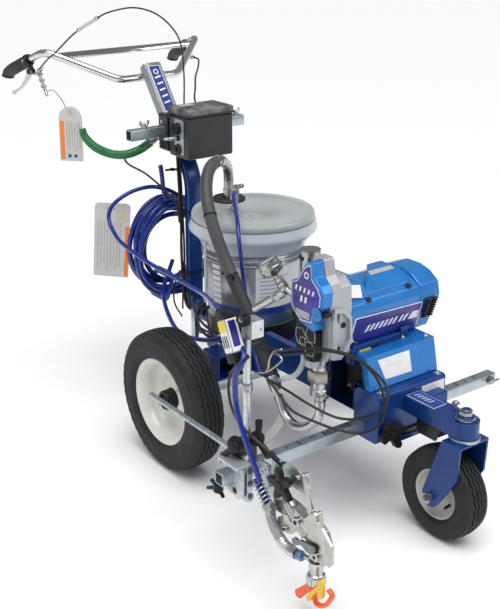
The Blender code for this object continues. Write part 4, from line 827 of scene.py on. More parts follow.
def build_grip(side, name):
    def point(x, y, z):
        return Vector((x, side * y, z))

    end, bend = point(-1.005, 0.320, 0.978), point(-0.797, 0.285, 1.067)
    along = (end - bend).normalized()
    start = end - along * 0.130
    down = (Vector((0, 0, -1)) + along * along.z).normalized()
    path = curve([start, start + along * 0.035, start + along * 0.070, start + along * 0.100 + down * 0.001,
                  end - along * 0.008 + down * 0.004, end + down * 0.012], 5)
    grip = Shape().tube(path,
                        lambda t: 0.0178 + 0.0018 * math.sin(t * math.pi) + (0.003 if t > 0.93 else 0.0), 18)
    for k in range(9):
        grip.turned([(0.0176, 0), (0.0196, 0.001), (0.0196, 0.003), (0.0176, 0.004)],
                    start + along * (0.022 + 0.0085 * k), along, 20)
    grip.turned([(0.0145, 0), (0.0200, 0), (0.0210, 0.002), (0.0210, 0.006), (0.0145, 0.006)],
                start - along * 0.004,
                along, 22)
    made = grip.piece("grip_moulding_" + name, RUBBER, "handle", smooth=60)
    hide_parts("grip_" + name)

    lever = "trigger_lever" if side < 0 else "lock_lever"
    at = pivot(lever + "_pull")
    ring = start - along * 0.013
    clamp = Shape().turned([(0.0128, 0), (0.0180, 0), (0.0190, 0.002), (0.0190, 0.013), (0.0180, 0.015),
                            (0.0128, 0.015)],
                           ring, along, 24)
    arm = curve([ring + along * 0.006 + down * 0.014, at + Vector((0.004, 0, 0.010)),
                 at + Vector((0.014, -side * 0.004, 0.0)),
                 at + Vector((0.030, -side * 0.006, -0.002))], 4)
    clamp.tube(arm, lambda t: 0.0090 - 0.0016 * t, 10, side=Y)
    clamp.rod(at - Y * 0.012, at + Y * 0.012, 0.0095, 16)
    clamp.piece("lever_perch_" + name, BLACK_PAINT, "handle", bevel=0.0006)
    Shape().bolt(ring + along * 0.0075 - Y * 0.019 * 1.0, -Y, 0.0042).piece("perch_screw_" + name, STEEL,
        "handle")

    tip = point(-0.972, 0.314, 0.914)
    blade = Shape().tube(curve([at + Vector((0.012, 0, 0.004)), at + Vector((-0.006, 0, -0.008)),
                                at.lerp(tip, 0.30) + Vector((0.0, 0, -0.010)),
                                at.lerp(tip, 0.62) + Vector((0.004, 0, -0.008)),
                                tip + Vector((0.006, 0, 0.006)), tip], 5),
                         lambda t: (0.0085, 0.0098, 0.0075, 0.0062, 0.0060, 0.0078)[min(5, int(t * 6))], 12,
                         flat=0.62, side=X)
    made = blade.piece("lever_blade_" + name, ALUMINIUM, lever, smooth=60)
    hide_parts(lever)

    barrel = at + Vector((0.030, -side * 0.006, -0.002))
    toward = Vector((0.62, side * 0.02, 0.30)).normalized()
    if side < 0:
        adjuster = Shape().turned([(0, 0), (0.0070, 0), (0.0078, 0.002), (0.0078, 0.010), (0.0050, 0.012),
                                   (0.0050, 0.020),
                                   (0.0078, 0.021), (0.0078, 0.032), (0.0050, 0.035), (0.0050, 0.048),
                                   (0, 0.048)],
                                  barrel, toward, 16)
        adjuster.piece("cable_adjuster_right", STEEL, "handle")
        link = [(0.0, 0.008), (0.030, 0.010), (0.070, 0.007), (0.078, 0.0), (0.070, -0.006), (0.030, -0.009),
                (0.0, -0.008),
                (-0.006, 0.0)]
        chain_dir = Vector((0.50, -0.05, -0.60)).normalized()
        base = barrel + toward * 0.020
        Shape().plate(rounded(link, 0.004, 3), base, chain_dir, Vector((0.72, 0.0, 0.60)), 0.004).piece(
            "lever_link_plate", ZINC, "handle", bevel=0.001)
        pins = Shape()
        for share in (0.012, 0.034, 0.056):
            spot = base + chain_dir * share
            pins.rod(spot - Y * 0.010, spot + Y * 0.008, 0.0042, 12)
        pins.rod(base + chain_dir * 0.066, base + chain_dir * 0.090, 0.0050, 12)
        pins.piece("lever_link_pins", STEEL, "handle")
    else:
        adjuster = Shape().turned([(0, 0), (0.0060, 0), (0.0070, 0.004), (0.0070, 0.014), (0.0045, 0.016),
                                   (0.0045, 0.030),
                                   (0, 0.030)], barrel, Vector((0.85, -0.1, 0.05)), 14)
        adjuster.piece("cable_adjuster_left", STEEL, "handle")


def blended_tube(name, path, radius, material, a, sides=8):
    obj = Shape().tube(path, radius, sides).piece(name, material, a, ride=False)
    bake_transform(obj)
    return obj


def build_handle_cables():
    path = curve([(-0.804, -0.2985, 1.016), (-0.745, -0.300, 1.051), (-0.686, -0.300, 1.080),
                  (-0.604, -0.275, 1.144),
                  (-0.537, -0.236, 1.190), (-0.508, -0.208, 1.209), (-0.484, -0.144, 1.219),
                  (-0.471, -0.078, 1.200),
                  (-0.465, -0.023, 1.155), (-0.458, 0.003, 1.102), (-0.459, 0.012, 1.011),
                  (-0.457, 0.009, 0.935),
                  (-0.452, 0.006, 0.910)], 6)
    cable = blended_tube("trigger_cable_loop", path, 0.0025, CABLE, "handle")
    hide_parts("trigger_cable")
    sleeve = path[19:25]
    blended_tube("cable_sleeve", sleeve, 0.0054, TAG, "handle", 12)
    collar = Shape()
    for spot, ahead in ((sleeve[0], sleeve[1]), (sleeve[-1], sleeve[-2])):
        direction = (ahead - spot).normalized()
        collar.rod(spot - direction * 0.004, spot + direction * 0.005, 0.0062, 10)
    obj = collar.piece("cable_sleeve_ends", ALUMINIUM, "handle", ride=False)
    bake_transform(obj)
    path = curve([(-0.812, 0.292, 0.996), (-0.787, 0.288, 0.992), (-0.735, 0.250, 0.975),
                  (-0.661, 0.190, 0.962), (-0.560, 0.120, 0.945),
                  (-0.490, 0.070, 0.930), (-0.450, 0.050, 0.912)], 6)
    blended_tube("lock_cable", path, 0.0030, CABLE, "handle")
    wire = curve([(-0.752, -0.303, 0.952), (-0.712, -0.306, 0.962), (-0.690, -0.300, 0.950),
                  (-0.676, -0.292, 0.930),
                  (-0.664, -0.288, 0.909)], 6)
    Shape().tube(wire, 0.0014, 6).piece("tag_wire", GREEN_WIRE, "handle")


def tag(name, body, origin, across, up, width, height, rounded_top):
    """The plate of a hanging plastic tag, rounded over the top or only at its corners; the orange stripe and grey
    lines are drawn by the caller. Gives back the plate's normal.
    """
    half = width / 2
    corner = half * 0.98 if rounded_top else width * 0.12
    outline = rounded([(-half, 0), (half, 0), (half, -height), (-half, -height)],
                      [corner, corner, 0.005, 0.005], 6)
    normal = Vector(across).cross(Vector(up)).normalized()
    Shape().plate(outline, origin, across, up, 0.0012).piece(name, TAG, body)
    return normal


def build_tags():
    up = Vector((0.03, 0.0, 1.0)).normalized()
    across = Vector((0.80, 0.60, 0.03)).normalized()
    normal = across.cross(up).normalized()
    origin = Vector((-0.652, -0.282, 0.918))
    if normal.x < 0:
        across, normal = -across, -normal
    tag("warning_tag", "handle", origin, across, up, 0.078, 0.172, True)
    face = origin + normal * 0.0013
    eye = Shape().turned([(0.0045, 0), (0.0085, 0), (0.0085, 0.0008), (0.0045, 0.0008)], face - up * 0.018,
                         normal, 20)
    eye.piece("warning_tag_eye", LABEL_GREY, "handle")
    edge = -1 if across.y > 0 else 1
    Shape().plate([(edge * 0.036, -0.046), (edge * 0.022, -0.046), (edge * 0.022, -0.165),
                   (edge * 0.036, -0.165)], face, across,
                  up, 0.0004).piece("warning_tag_stripe", LABEL_ORANGE, "handle")
    lines = Shape()
    for k in range(6):
        a = -edge * (-0.014 + 0.0085 * k)
        lines.plate([(a, -0.048), (a + 0.0028, -0.048), (a + 0.0028, -0.140 + 0.006 * (k % 3)),
                     (a, -0.140 + 0.006 * (k % 3))],
                    face, across, up, 0.0003)
    lines.piece("warning_tag_lines", LABEL_GREY, "handle")
    spots = Shape()
    for k in range(2):
        spots.turned([(0, 0), (0.0058, 0), (0.0058, 0.0004), (0, 0.0004)],
                     face + across * (-edge) * (-0.006 + 0.020 * k) - up * 0.155,
                     normal, 20)
    spots.piece("warning_tag_spots", LABEL_BLUE, "handle")

    path = curve([(-0.617, -0.262, 0.852), (-0.611, -0.256, 0.826), (-0.585, -0.238, 0.798),
                  (-0.560, -0.202, 0.777),
                  (-0.528, -0.168, 0.775), (-0.512, -0.125, 0.787), (-0.488, -0.098, 0.812)], 7)
    Shape().tube(path, lambda t: 0.0105 + 0.003 * min(1.0, 3 * t), 14).piece("green_sleeve", GREEN, "chassis")
    Shape().rod(path[-1], path[-1] + (path[-1] - path[-3]).normalized() * 0.020, 0.0105,
                12).piece("sleeve_end", ZINC,
                                                                                             "chassis")
    # second tag, hung on the spray hose
    across = Vector((0.83, 0.55, 0.05)).normalized()
    up = Vector((0.17, -0.02, 0.98)).normalized()
    normal = across.cross(up).normalized()
    if normal.x < 0:
        across, normal = -across, -normal
    origin = Vector((-0.548, -0.206, 0.622))
    tag("hose_tag", "chassis", origin, across, up, 0.125, 0.262, False)
    face = origin + normal * 0.0013
    edge = 1 if across.y > 0 else -1
    Shape().plate([(edge * 0.060, -0.080), (edge * 0.047, -0.080), (edge * 0.047, -0.258),
                   (edge * 0.060, -0.258)], face, across,
                  up, 0.0004).piece("hose_tag_stripe", LABEL_ORANGE, "chassis")
    Shape().plate([(edge * 0.026, -0.040), (edge * 0.044, -0.040), (edge * 0.035, -0.056)], face, across, up,
                  0.0005).piece(
        "hose_tag_triangle", LABEL_YELLOW, "chassis")
    lines = Shape()
    for k in range(8):
        a = edge * (-0.050 + 0.011 * k)
        lines.plate([(a, -0.066), (a + 0.0040, -0.066), (a + 0.0040, -0.236 + 0.012 * (k % 3)),
                     (a, -0.236 + 0.012 * (k % 3))],
                    face, across, up, 0.0003)
    lines.piece("hose_tag_lines", LABEL_GREY, "chassis")
    slot_lines = Shape().plate(rounded([(-0.022, -0.014), (0.012, -0.014), (0.012, -0.024), (-0.022, -0.024)],
                                       0.004, 3), face,
                               across, up, 0.0006)
    slot_lines.piece("hose_tag_slot", LABEL_GREY, "chassis")


# ---------------------------------------------------------------- hoses
def build_hose_coil():
    centre = middle("hose_coil")
    outer = (high("hose_coil") - low("hose_coil")).z / 2
    turns, per_turn = 7, 40
    path = []
    for k in range(turns * per_turn + 1):
        angle = math.tau * k / per_turn + 0.9
        lap = k / per_turn
        radius = outer - 0.008 - 0.0085 * (0.5 + 0.5 * math.sin(lap * 2.4)) * 2 - 0.004 * math.sin(3 * angle + lap)
        shift = -0.050 + 0.0125 * lap + 0.004 * math.sin(2 * angle + lap * 1.7)
        sag = -0.006 * lap / turns
        path.append(Vector((centre.x + shift - 0.006, centre.y + radius * 0.95 * math.cos(angle),
                            centre.z + sag + radius * 1.05 * math.sin(angle))))
    coil = Shape().tube(path, 0.0080, 10).piece("spray_hose_coil", BLUE_HOSE, "chassis")
    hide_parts("hose_coil")
    inner = Shape()
    for radius, shift in ((0.118, -0.036), (0.106, -0.010)):
        ring = [Vector((centre.x + shift + 0.004 * math.sin(a * 2), centre.y + 0.006 + radius * math.cos(a),
                        centre.z - 0.010 + radius * 1.04 * math.sin(a))) for a in (math.tau * k / 48 for k in range(48))]
        inner.tube(ring, 0.0080, 10, closed=True)
    inner.piece("spray_hose_inner_turns", BLUE_HOSE, "chassis")
    # strap round the bottom of the coil
    strap = Shape()
    base = Vector((centre.x, centre.y - 0.045, centre.z - 0.132))
    inward = Vector((0, 0.32, 0.95)).normalized()
    loop = rounded([(-0.052, -0.030), (0.048, -0.030), (0.048, 0.046), (-0.052, 0.046)], 0.016, 5)
    path = [base + X * a + inward * b for a, b in loop]
    strap.tube(path, 0.0120, 8, flat=0.12, side=inward.cross(X), closed=True)
    strap.piece("coil_strap", LABEL_BLUE, "chassis")
    Shape().tube(curve([(-0.492, -0.062, 0.734), (-0.486, -0.061, 0.700), (-0.480, -0.060, 0.652),
                        (-0.470, -0.056, 0.625)]), 0.0075,
                 10).piece("hose_stub", BLUE_HOSE, "chassis")
    # the hose that leaves the coil, loops through the tag and runs forward to the gun
    chassis_part = [(-0.470, -0.010, 0.632), (-0.478, -0.050, 0.656), (-0.490, -0.100, 0.670),
                    (-0.500, -0.158, 0.664),
                    (-0.505, -0.206, 0.645), (-0.515, -0.234, 0.615), (-0.505, -0.246, 0.580),
                    (-0.447, -0.256, 0.548),
                    (-0.380, -0.262, 0.534), (-0.247, -0.262, 0.518), (-0.129, -0.255, 0.510),
                    (-0.002, -0.258, 0.506),
                    (0.118, -0.298, 0.524), (0.225, -0.345, 0.534)]
    path = curve(chassis_part, 6)
    Shape().tube(path, 0.0065, 10).piece("spray_hose_rear", BLUE_HOSE, "chassis")
    path = curve([chassis_part[-1], (0.340, -0.402, 0.550), (0.430, -0.452, 0.566), (0.500, -0.4925, 0.588),
                  (0.548, -0.505, 0.586),
                  (0.567, -0.522, 0.568), (0.558, -0.532, 0.541), (0.555, -0.534, 0.515)], 6)
    blended_tube("spray_hose_middle", path, 0.0068, BLUE_HOSE, "chassis", 12)
    path = curve([(0.555, -0.534, 0.515), (0.560, -0.536, 0.476), (0.574, -0.538, 0.440),
                  (0.592, -0.538, 0.406), (0.610, -0.534, 0.366)], 6)
    blended_tube("spray_hose_front", path, 0.0068, BLUE_HOSE, "gun_bar",
                 12)
    path = curve([(0.610, -0.534, 0.366), (0.625, -0.530, 0.330), (0.636, -0.524, 0.296)], 6)
    blended_tube("spray_hose_end", path, 0.0068, BLUE_HOSE, "gun_carriage", 12)
    joint = Shape().rod((0.215, -0.340, 0.5335), (0.237, -0.351, 0.5350), 0.0080, 12)
    joint.piece("hose_ferrule", HOLE_SHADE_AND_BLACK, "chassis")


def build_lower_hoses():
    path = curve([(-0.470, -0.040, 0.420), (-0.440, -0.080, 0.385), (-0.395, -0.125, 0.360),
                  (-0.314, -0.170, 0.341), (-0.198, -0.215, 0.325),
                  (-0.110, -0.235, 0.328), (-0.040, -0.240, 0.342), (0.030, -0.238, 0.362),
                  (0.088, -0.232, 0.389)], 6)
    Shape().tube(path, 0.0068, 10).piece("return_hose", BLUE_HOSE, "chassis")
    black = Shape()
    for points in (((-0.120, -0.200, 0.440), (-0.080, -0.215, 0.405), (-0.030, -0.215, 0.380),
                    (0.020, -0.205, 0.372), (0.060, -0.190, 0.380)),
                   ((-0.100, -0.185, 0.420), (-0.090, -0.200, 0.370), (-0.040, -0.205, 0.345),
                    (0.030, -0.190, 0.340), (0.080, -0.160, 0.330)),
                   ((-0.060, -0.190, 0.400), (-0.010, -0.205, 0.352), (0.050, -0.200, 0.352),
                    (0.100, -0.180, 0.345))):
        black.tube(curve(points), 0.0040, 8)
    black.piece("wire_nest", CABLE, "chassis")
    fin = [(0.0, 0.0), (0.018, 0.010), (0.010, -0.040), (-0.020, -0.082), (-0.078, -0.135), (-0.092, -0.126),
           (-0.060, -0.092),
           (-0.022, -0.045)]
    Shape().plate(rounded(fin, 0.004, 3), (0.303, -0.200, 0.240), X, Z, 0.004).piece("splash_fin", TAG,
        "chassis",
                                                                                 bevel=0.001)


def front_cable_loops():
    loops = Shape()
    first = [(0.190, -0.255, 0.470), (0.255, -0.262, 0.438), (0.326, -0.262, 0.436), (0.379, -0.262, 0.448),
             (0.472, -0.262, 0.486),
             (0.537, -0.245, 0.510), (0.604, -0.205, 0.500), (0.648, -0.165, 0.452), (0.655, -0.150, 0.407),
             (0.640, -0.155, 0.362), (0.598, -0.180, 0.333), (0.547, -0.215, 0.325), (0.485, -0.250, 0.345),
             (0.410, -0.262, 0.358),
             (0.330, -0.262, 0.360)]
    second = [(0.330, -0.268, 0.366), (0.390, -0.272, 0.340), (0.440, -0.272, 0.318), (0.500, -0.250, 0.306),
              (0.560, -0.215, 0.295), (0.611, -0.178, 0.299),
              (0.642, -0.155, 0.336), (0.640, -0.148, 0.387), (0.620, -0.160, 0.448), (0.575, -0.196, 0.496),
              (0.520, -0.245, 0.510),
              (0.450, -0.268, 0.492), (0.380, -0.268, 0.462), (0.300, -0.268, 0.452)]
    loops.tube(curve(first, 6), 0.0034, 8)
    loops.tube(curve(second, 6), 0.0034, 8)
    loops.piece("drive_cable_loops", CABLE, "chassis")
    path = curve([(0.300, -0.268, 0.452), (0.330, -0.330, 0.480), (0.390, -0.420, 0.550),
                  (0.470, -0.4935, 0.572), (0.530, -0.4950, 0.570),
                  (0.566, -0.505, 0.576), (0.574, -0.520, 0.574)], 6)
    blended_tube("gun_cable_upper", path, 0.0034, CABLE, "chassis")
    path = curve([(0.574, -0.520, 0.574), (0.554, -0.525, 0.559), (0.529, -0.525, 0.527),
                  (0.520, -0.5255, 0.501), (0.523, -0.528, 0.476),
                  (0.540, -0.532, 0.446), (0.572, -0.532, 0.417), (0.614, -0.528, 0.401)], 6)
    blended_tube("gun_cable_middle", path, 0.0034, CABLE, "gun_bar")
    path = curve([(0.614, -0.528, 0.401), (0.650, -0.520, 0.387), (0.676, -0.510, 0.368)], 6)
    blended_tube("gun_cable_lower", path, 0.0034, CABLE, "gun_carriage")
    Shape().rod((0.662, -0.515, 0.377), (0.690, -0.505, 0.358), 0.0062, 12).piece("gun_cable_end", BLACK,
        "gun_arm")


# ---------------------------------------------------------------- pail
def build_pail():
    centre = middle("pail")
    centre.z = 0
    base, rim = low("pail").z, high("pail").z
    bottom, top = 0.131, 0.149

    def wall(z):
        return bottom + (top - bottom) * (z - base) / (rim - base)

    dress("pail", PAIL_SILVER, 0.0)

    def band(name, z0, z1, proud, material, body="chassis"):
        a, b = wall(z0) + 0.0003, wall(z1) + 0.0003
        Shape().turned([(a, z0), (a + proud, z0 + proud * 0.5), (b + proud, z1 - proud * 0.5), (b, z1)],
                       centre, Z, 96).piece(
            name, material, body, smooth=50)

    band("pail_black_base", base + 0.001, base + 0.060, 0.0012, BLACK)
    band("pail_green_line", base + 0.0602, base + 0.0632, 0.0008, GREEN_WIRE)
    band("pail_blue_stripe", base + 0.100, base + 0.120, 0.0006, LABEL_BLUE)
    ring = Shape()
    for z, size in ((rim - 0.050, 0.006), (rim - 0.064, 0.0035)):
        radius = wall(z)
        ring.turned([(radius, z - size), (radius + size, z - size * 0.4), (radius + size, z + size * 0.4),
                     (radius, z + size)], centre, Z, 96)
    ring.piece("pail_rings", PAIL_SILVER, "chassis", smooth=60)

    def patch(name, start, end, z0, z1, proud, material):
        """A label wrapped on the pail between two headings in degrees."""
        shape = Shape()
        steps = 14
        rows = []
        for z in (z0, z1):
            for lift in (0.0003, proud):
                rows.append([shape.bm.verts.new(centre + Vector(((wall(z) + lift) * math.cos(a),
                    (wall(z) + lift) * math.sin(a), z)))
                             for a in (math.radians(start + (end - start) * k / steps) for k in range(steps + 1))])
        inner0, outer0, inner1, outer1 = rows
        for one, two in ((outer0, outer1), (inner0, inner1), (inner0, outer0), (inner1, outer1)):
            for k in range(steps):
                shape.bm.faces.new((one[k], one[k + 1], two[k + 1], two[k]))
        for k in (0, steps):
            shape.bm.faces.new((inner0[k], outer0[k], outer1[k], inner1[k]))
        shape.piece(name, material, "chassis", smooth=60)

    patch("pail_label", -34, 30, base + 0.121, base + 0.252, 0.0008, LABEL_WHITE)
    for k in range(7):
        patch(f"pail_label_line_{k}", -29, 8 - 6 * (k % 3), base + 0.142 + 0.012 * k,
              base + 0.1455 + 0.012 * k, 0.0011, LABEL_GREY)
    for k in range(7):
        patch(f"pail_side_bar_{k}", -91 + 1.5 * (k % 2), -78, base + 0.122 + 0.018 * k,
              base + 0.134 + 0.018 * k, 0.0009, LABEL_WHITE)

    build_lid(centre)
    cord = curve([(-0.084, -0.172, 0.612), (-0.079, -0.178, 0.585), (-0.076, -0.180, 0.520),
                  (-0.074, -0.182, 0.460),
                  (-0.073, -0.184, 0.418)], 8)
    Shape().tube(cord, 0.0042, 10).piece("drain_cord", CORD, "chassis")
    hook = Shape().tube(curve([(-0.102, -0.186, 0.424), (-0.086, -0.190, 0.412), (-0.070, -0.190, 0.414),
                               (-0.052, -0.188, 0.424)], 6), 0.0062, 10)
    hook.rod((-0.074, -0.186, 0.432), (-0.078, -0.188, 0.392), 0.0058, 10)
    hook.piece("cord_hook", BLACK, "chassis")


def build_lid(centre):
    body = "pail_lid"
    top = high("pail_lid").z
    radius = 0.180
    profile = [(0, top - 0.003), (0.060, top - 0.003), (0.064, top), (0.150, top), (0.158, top - 0.004),
               (0.166, top - 0.003),
               (radius - 0.004, top - 0.001), (radius, top - 0.006), (radius + 0.001, top - 0.018),
               (radius - 0.004, top - 0.026),
               (radius - 0.006, top - 0.020), (radius - 0.006, top - 0.010), (0.150, top - 0.008),
               (0, top - 0.008)]
    lid = Shape().turned(profile, centre, Z, 112).piece("lid_disc", LID_GREY, body, smooth=40)
    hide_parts("pail_lid")
    foot = low("pail_lid").z
    profile = [(0.1515, foot), (0.1535, foot), (0.1580, foot + 0.010), (0.1640, foot + 0.022),
               (0.1780, foot + 0.036), (0.1878, foot + 0.046),
               (0.1885, foot + 0.052), (0.1840, foot + 0.064), (0.1820, foot + 0.076), (0.1805, foot + 0.070),
               (0.1845, foot + 0.052), (0.1750, foot + 0.040),
               (0.1620, foot + 0.026), (0.1515, foot + 0.012)]
    collar = Shape().turned(profile, centre, Z, 112).piece("pail_collar", CLEAR, body, smooth=50)
    swirl = Shape()
    for size in (0.012, 0.022):
        swirl.turned([(size, 0), (size + 0.0028, 0), (size + 0.0028, 0.0004), (size, 0.0004)],
                     centre + Vector((0.058, -0.050, top + 0.0002)), Z, 40)
    swirl.piece("lid_rings", TAG, body)
    Shape().turned([(0.0175, 0.0004), (0.044, 0.0004), (0.050, 0.002), (0.050, 0.006), (0.046, 0.010),
                    (0.0175, 0.010)],
                   (low("suction_pipe").x + 0.0138, 0.0, top - 0.001), Z, 48).piece("lid_grommet", RUBBER,
                       body)
    at = Vector((-0.110, -0.052, top))
    fitting = Shape().turned([(0.004, 0), (0.011, 0), (0.012, 0.004), (0.010, 0.010), (0.0085, 0.012),
                              (0.0085, 0.050), (0.010, 0.052),
                              (0.010, 0.068), (0.007, 0.074), (0.004, 0.074)], at + Z * 0.002,
                             Vector((0.10, 0.02, 1)), 20)
    fitting.rod(at + Vector((0.006, 0.002, 0.070)), at + Vector((0.028, 0.010, 0.078)), 0.0062, 14)
    fitting.bolt(at + Vector((0.0, 0.0, 0.030)), Z, 0.0125, washer=False, height=1.0)
    fitting.piece("drain_fitting", STEEL, body)
    path = curve([(-0.098, -0.060, 0.732), (-0.078, -0.078, 0.726), (-0.032, -0.106, 0.713),
                  (0.042, -0.152, 0.695), (0.078, -0.174, 0.662),
                  (0.082, -0.172, 0.625), (0.078, -0.162, 0.562), (0.075, -0.152, 0.507)], 6)
    blended_tube("drain_hose_upper", path, 0.0062, BLUE_HOSE, "chassis", 10)
    path = curve([(0.075, -0.152, 0.507), (0.083, -0.150, 0.464), (0.094, -0.152, 0.416),
                  (0.114, -0.158, 0.372), (0.138, -0.164, 0.335),
                  (0.172, -0.172, 0.302)], 6)
    Shape().tube(path, 0.0062, 10).piece("drain_hose_lower", BLUE_HOSE, "chassis")


# ---------------------------------------------------------------- drive and pump
def offset(outline, share):
    """An outline shrunk or grown about its middle."""
    cx = sum(p[0] for p in outline) / len(outline)
    cz = sum(p[1] for p in outline) / len(outline)
    return [(cx + (a - cx) * share, cz + (b - cz) * share) for a, b in outline]


def build_shroud():
    y0, y1 = low("motor_shroud").y, high("motor_shroud").y
    lo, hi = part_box("motor_shroud")
    section = [(0.352, lo.z), (0.478, lo.z), (0.494, 0.498), (0.5115, 0.548), (0.5120, 0.572), (0.502, 0.594),
               (0.470, 0.611),
               (0.446, 0.6199), (0.392, 0.6199), (0.352, 0.606), (lo.x, 0.565), (lo.x, 0.485)]
    shape = Shape().prism(rounded(section, [0.004, 0.010, 0.012, 0.012, 0.010, 0.014, 0.02, 0.012, 0.012,
                                            0.014, 0.012, 0.012], 4), "y", y0, y1)
    case = shape.piece("shroud_case", SHROUD_BLUE, "chassis", bevel=0.0045)
    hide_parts("motor_shroud")
    # raised shoulder along the top and the cap at the far end
    body_top = 0.6239
    shoulder = rounded([(0.372, body_top - 0.014), (0.380, body_top + 0.010), (0.452, body_top + 0.010),
                        (0.492, 0.6070), (0.496, 0.586)],
                       0.006, 3)
    block = Shape()
    starts = [-0.094 + max(0.0, 0.500 - x) * 0.95 for x, z in shoulder]
    near_ring = [block.bm.verts.new(Vector((x, y, z))) for (x, z), y in zip(shoulder, starts)]
    far_ring = [block.bm.verts.new(Vector((x, y1 - 0.086, z))) for x, z in shoulder]
    block.bm.faces.new(near_ring)
    block.bm.faces.new(far_ring)
    for k in range(len(shoulder)):
        n = (k + 1) % len(shoulder)
        block.bm.faces.new((near_ring[k], near_ring[n], far_ring[n], far_ring[k]))
    block.piece("shroud_shoulder", SHROUD_BLUE, "chassis", bevel=0.004)
    wedge = Shape()
    ends = [[(0.362, 0.600), (0.372, 0.660), (0.390, 0.672), (0.444, 0.672), (0.468, 0.660), (0.496, 0.600)],
            [(0.362, 0.600), (0.372, 0.626), (0.390, 0.636), (0.456, 0.636), (0.480, 0.625), (0.500, 0.596)]]
    rings = [[wedge.bm.verts.new(Vector((x, y, z))) for x, z in ring] for y,
             ring in zip((y0 + 0.0008, y0 + 0.072), ends)]
    wedge.bm.faces.new(rings[0])
    wedge.bm.faces.new(rings[1])
    for k in range(6):
        n = (k + 1) % 6
        wedge.bm.faces.new((rings[0][k], rings[0][n], rings[1][n], rings[1][k]))
    wedge.piece("shroud_raised_end", SHROUD_BLUE, "chassis", bevel=0.006)
    far = [(0.350, lo.z + 0.020), (0.470, lo.z + 0.020), (0.500, 0.520), (0.5165, 0.560), (0.508, 0.596),
           (0.474, 0.618), (0.440, body_top + 0.002),
           (0.395, body_top + 0.002), (0.352, 0.610), (0.328, 0.560), (0.328, 0.500)]
    Shape().prism(rounded(far, 0.014, 4), "y", y1 - 0.066, y1 + 0.004).piece("shroud_end_cap", SHROUD_BLUE,
        "chassis", bevel=0.006)
    nose = [(0.350, lo.z + 0.006), (0.480, lo.z + 0.006), (0.497, 0.508), (0.5150, 0.560), (0.508, 0.590),
            (0.474, 0.616), (0.446, body_top),
            (0.392, body_top), (0.350, 0.606), (0.328, 0.560), (0.328, 0.500)]
    Shape().prism(rounded(nose, 0.012, 4), "y", y0 + 0.0005, y0 + 0.050).piece("shroud_front_band",
        SHROUD_BLUE, "chassis", bevel=0.004)

    # sloping side that carries the label: from the belly line up to the crease
    foot, brow = Vector((0.4870, 0, 0.4800)), Vector((0.5128, 0, 0.5560))
    up = (brow - foot).normalized()
    out = Vector((up.z, 0, -up.x))
    border = [(-0.136, 0.030), (-0.122, 0.006), (-0.104, -0.001), (0.034, 0.007), (0.048, -0.005),
              (0.062, -0.004),
              (0.106, -0.003), (0.099, 0.076), (-0.138, 0.085)]
    Shape().plate(rounded(border, 0.003, 3), foot + out * 0.0010, Y, up, 0.0012).piece("shroud_label_border",
        LABEL_WHITE, "chassis")
    Shape().plate(rounded([(a, b) for a, b in offset(border, 0.962)], 0.003, 3), foot + out * 0.0023, Y, up,
                  0.0006).piece(
        "shroud_label", VIOLET, "chassis")
    marks = Shape()
    for k in range(9):
        start = -0.092 + 0.0158 * k + (0.006 if k > 6 else 0.0)
        marks.plate([(start, 0.030), (start + 0.0085, 0.030), (start + 0.0165, 0.051),
                     (start + 0.0080, 0.051)],
                    foot + out * 0.0030, Y, up, 0.0004)
    marks.plate([(0.060, 0.029), (0.094, 0.027), (0.095, 0.051), (0.070, 0.052)], foot + out * 0.0030, Y, up,
                0.0004)
    marks.piece("shroud_label_marks", LABEL_WHITE, "chassis")

    # dark boxes standing for the vent slots: painted shade in place of openings
    vents = Shape()
    for row in range(2):
        for k in range(8):
            z = 0.503 + 0.0075 * k
            lean = (z - 0.480) * 0.33
            y = y1 - 0.052 + row * 0.022
            vents.box((0.4935 + lean, y, z), (0.5035 + lean, y + 0.015, z + 0.0034))
    vents.piece("shroud_vent_shade", HOLE_SHADE_AND_BLACK, "chassis")
    # flat dark discs: painted shade of the screw wells
    recess = Shape()
    for y, z, x in ((-0.083, 0.5952, 0.5015), (0.058, 0.6000, 0.4985)):
        recess.turned([(0, 0), (0.0085, 0), (0.0085, 0.0012), (0, 0.0012)], (x, y, z), Vector((0.5, 0, 0.86)),
                      24)
    recess.piece("shroud_screw_well_shade", HOLE_SHADE_AND_BLACK, "chassis")
    Shape().plate([(0.426, -0.018), (0.426, 0.060), (0.450, 0.052), (0.452, -0.034)],
                  (0, 0, body_top + 0.0104), X, Y, 0.0006).piece(
        "shroud_top_label", LABEL_GREY, "chassis")
    corner, across = Vector((0.4955, -0.1440, 0.6085)), Vector((0.06, 1, -0.18)).normalized()
    Shape().plate([(0.004, 0.002), (0.042, 0.002), (0.042, 0.034), (0.004, 0.034)], corner, across,
                  Vector((-0.46, 0.13, 0.88)),
                  0.0030).piece("shroud_square_label", LABEL_WHITE, "chassis")

    tray_top = lo.z - 0.001
    Shape().box((0.470, y0 + 0.020, tray_top - 0.034),
                (0.502, y1 - 0.120, tray_top + 0.018)).piece("shroud_foot", BLUE, "chassis", bevel=0.003)
    front = 0.5022
    Shape().box((front, y0 + 0.040, tray_top - 0.022),
                (front + 0.0006, y0 + 0.078, tray_top + 0.004)).piece("foot_label_yellow", LABEL_YELLOW,
                                                                                                    "chassis")
    Shape().box((front, y0 + 0.078, tray_top - 0.020),
                (front + 0.0006, y0 + 0.106, tray_top + 0.006)).piece("foot_label_black", BLACK, "chassis")
    foot_block = Shape().box((0.455, y1 - 0.118, tray_top - 0.014), (0.500, y1 - 0.090, tray_top + 0.030))
    foot_block.piece("shroud_lug", BLUE, "chassis", bevel=0.003)


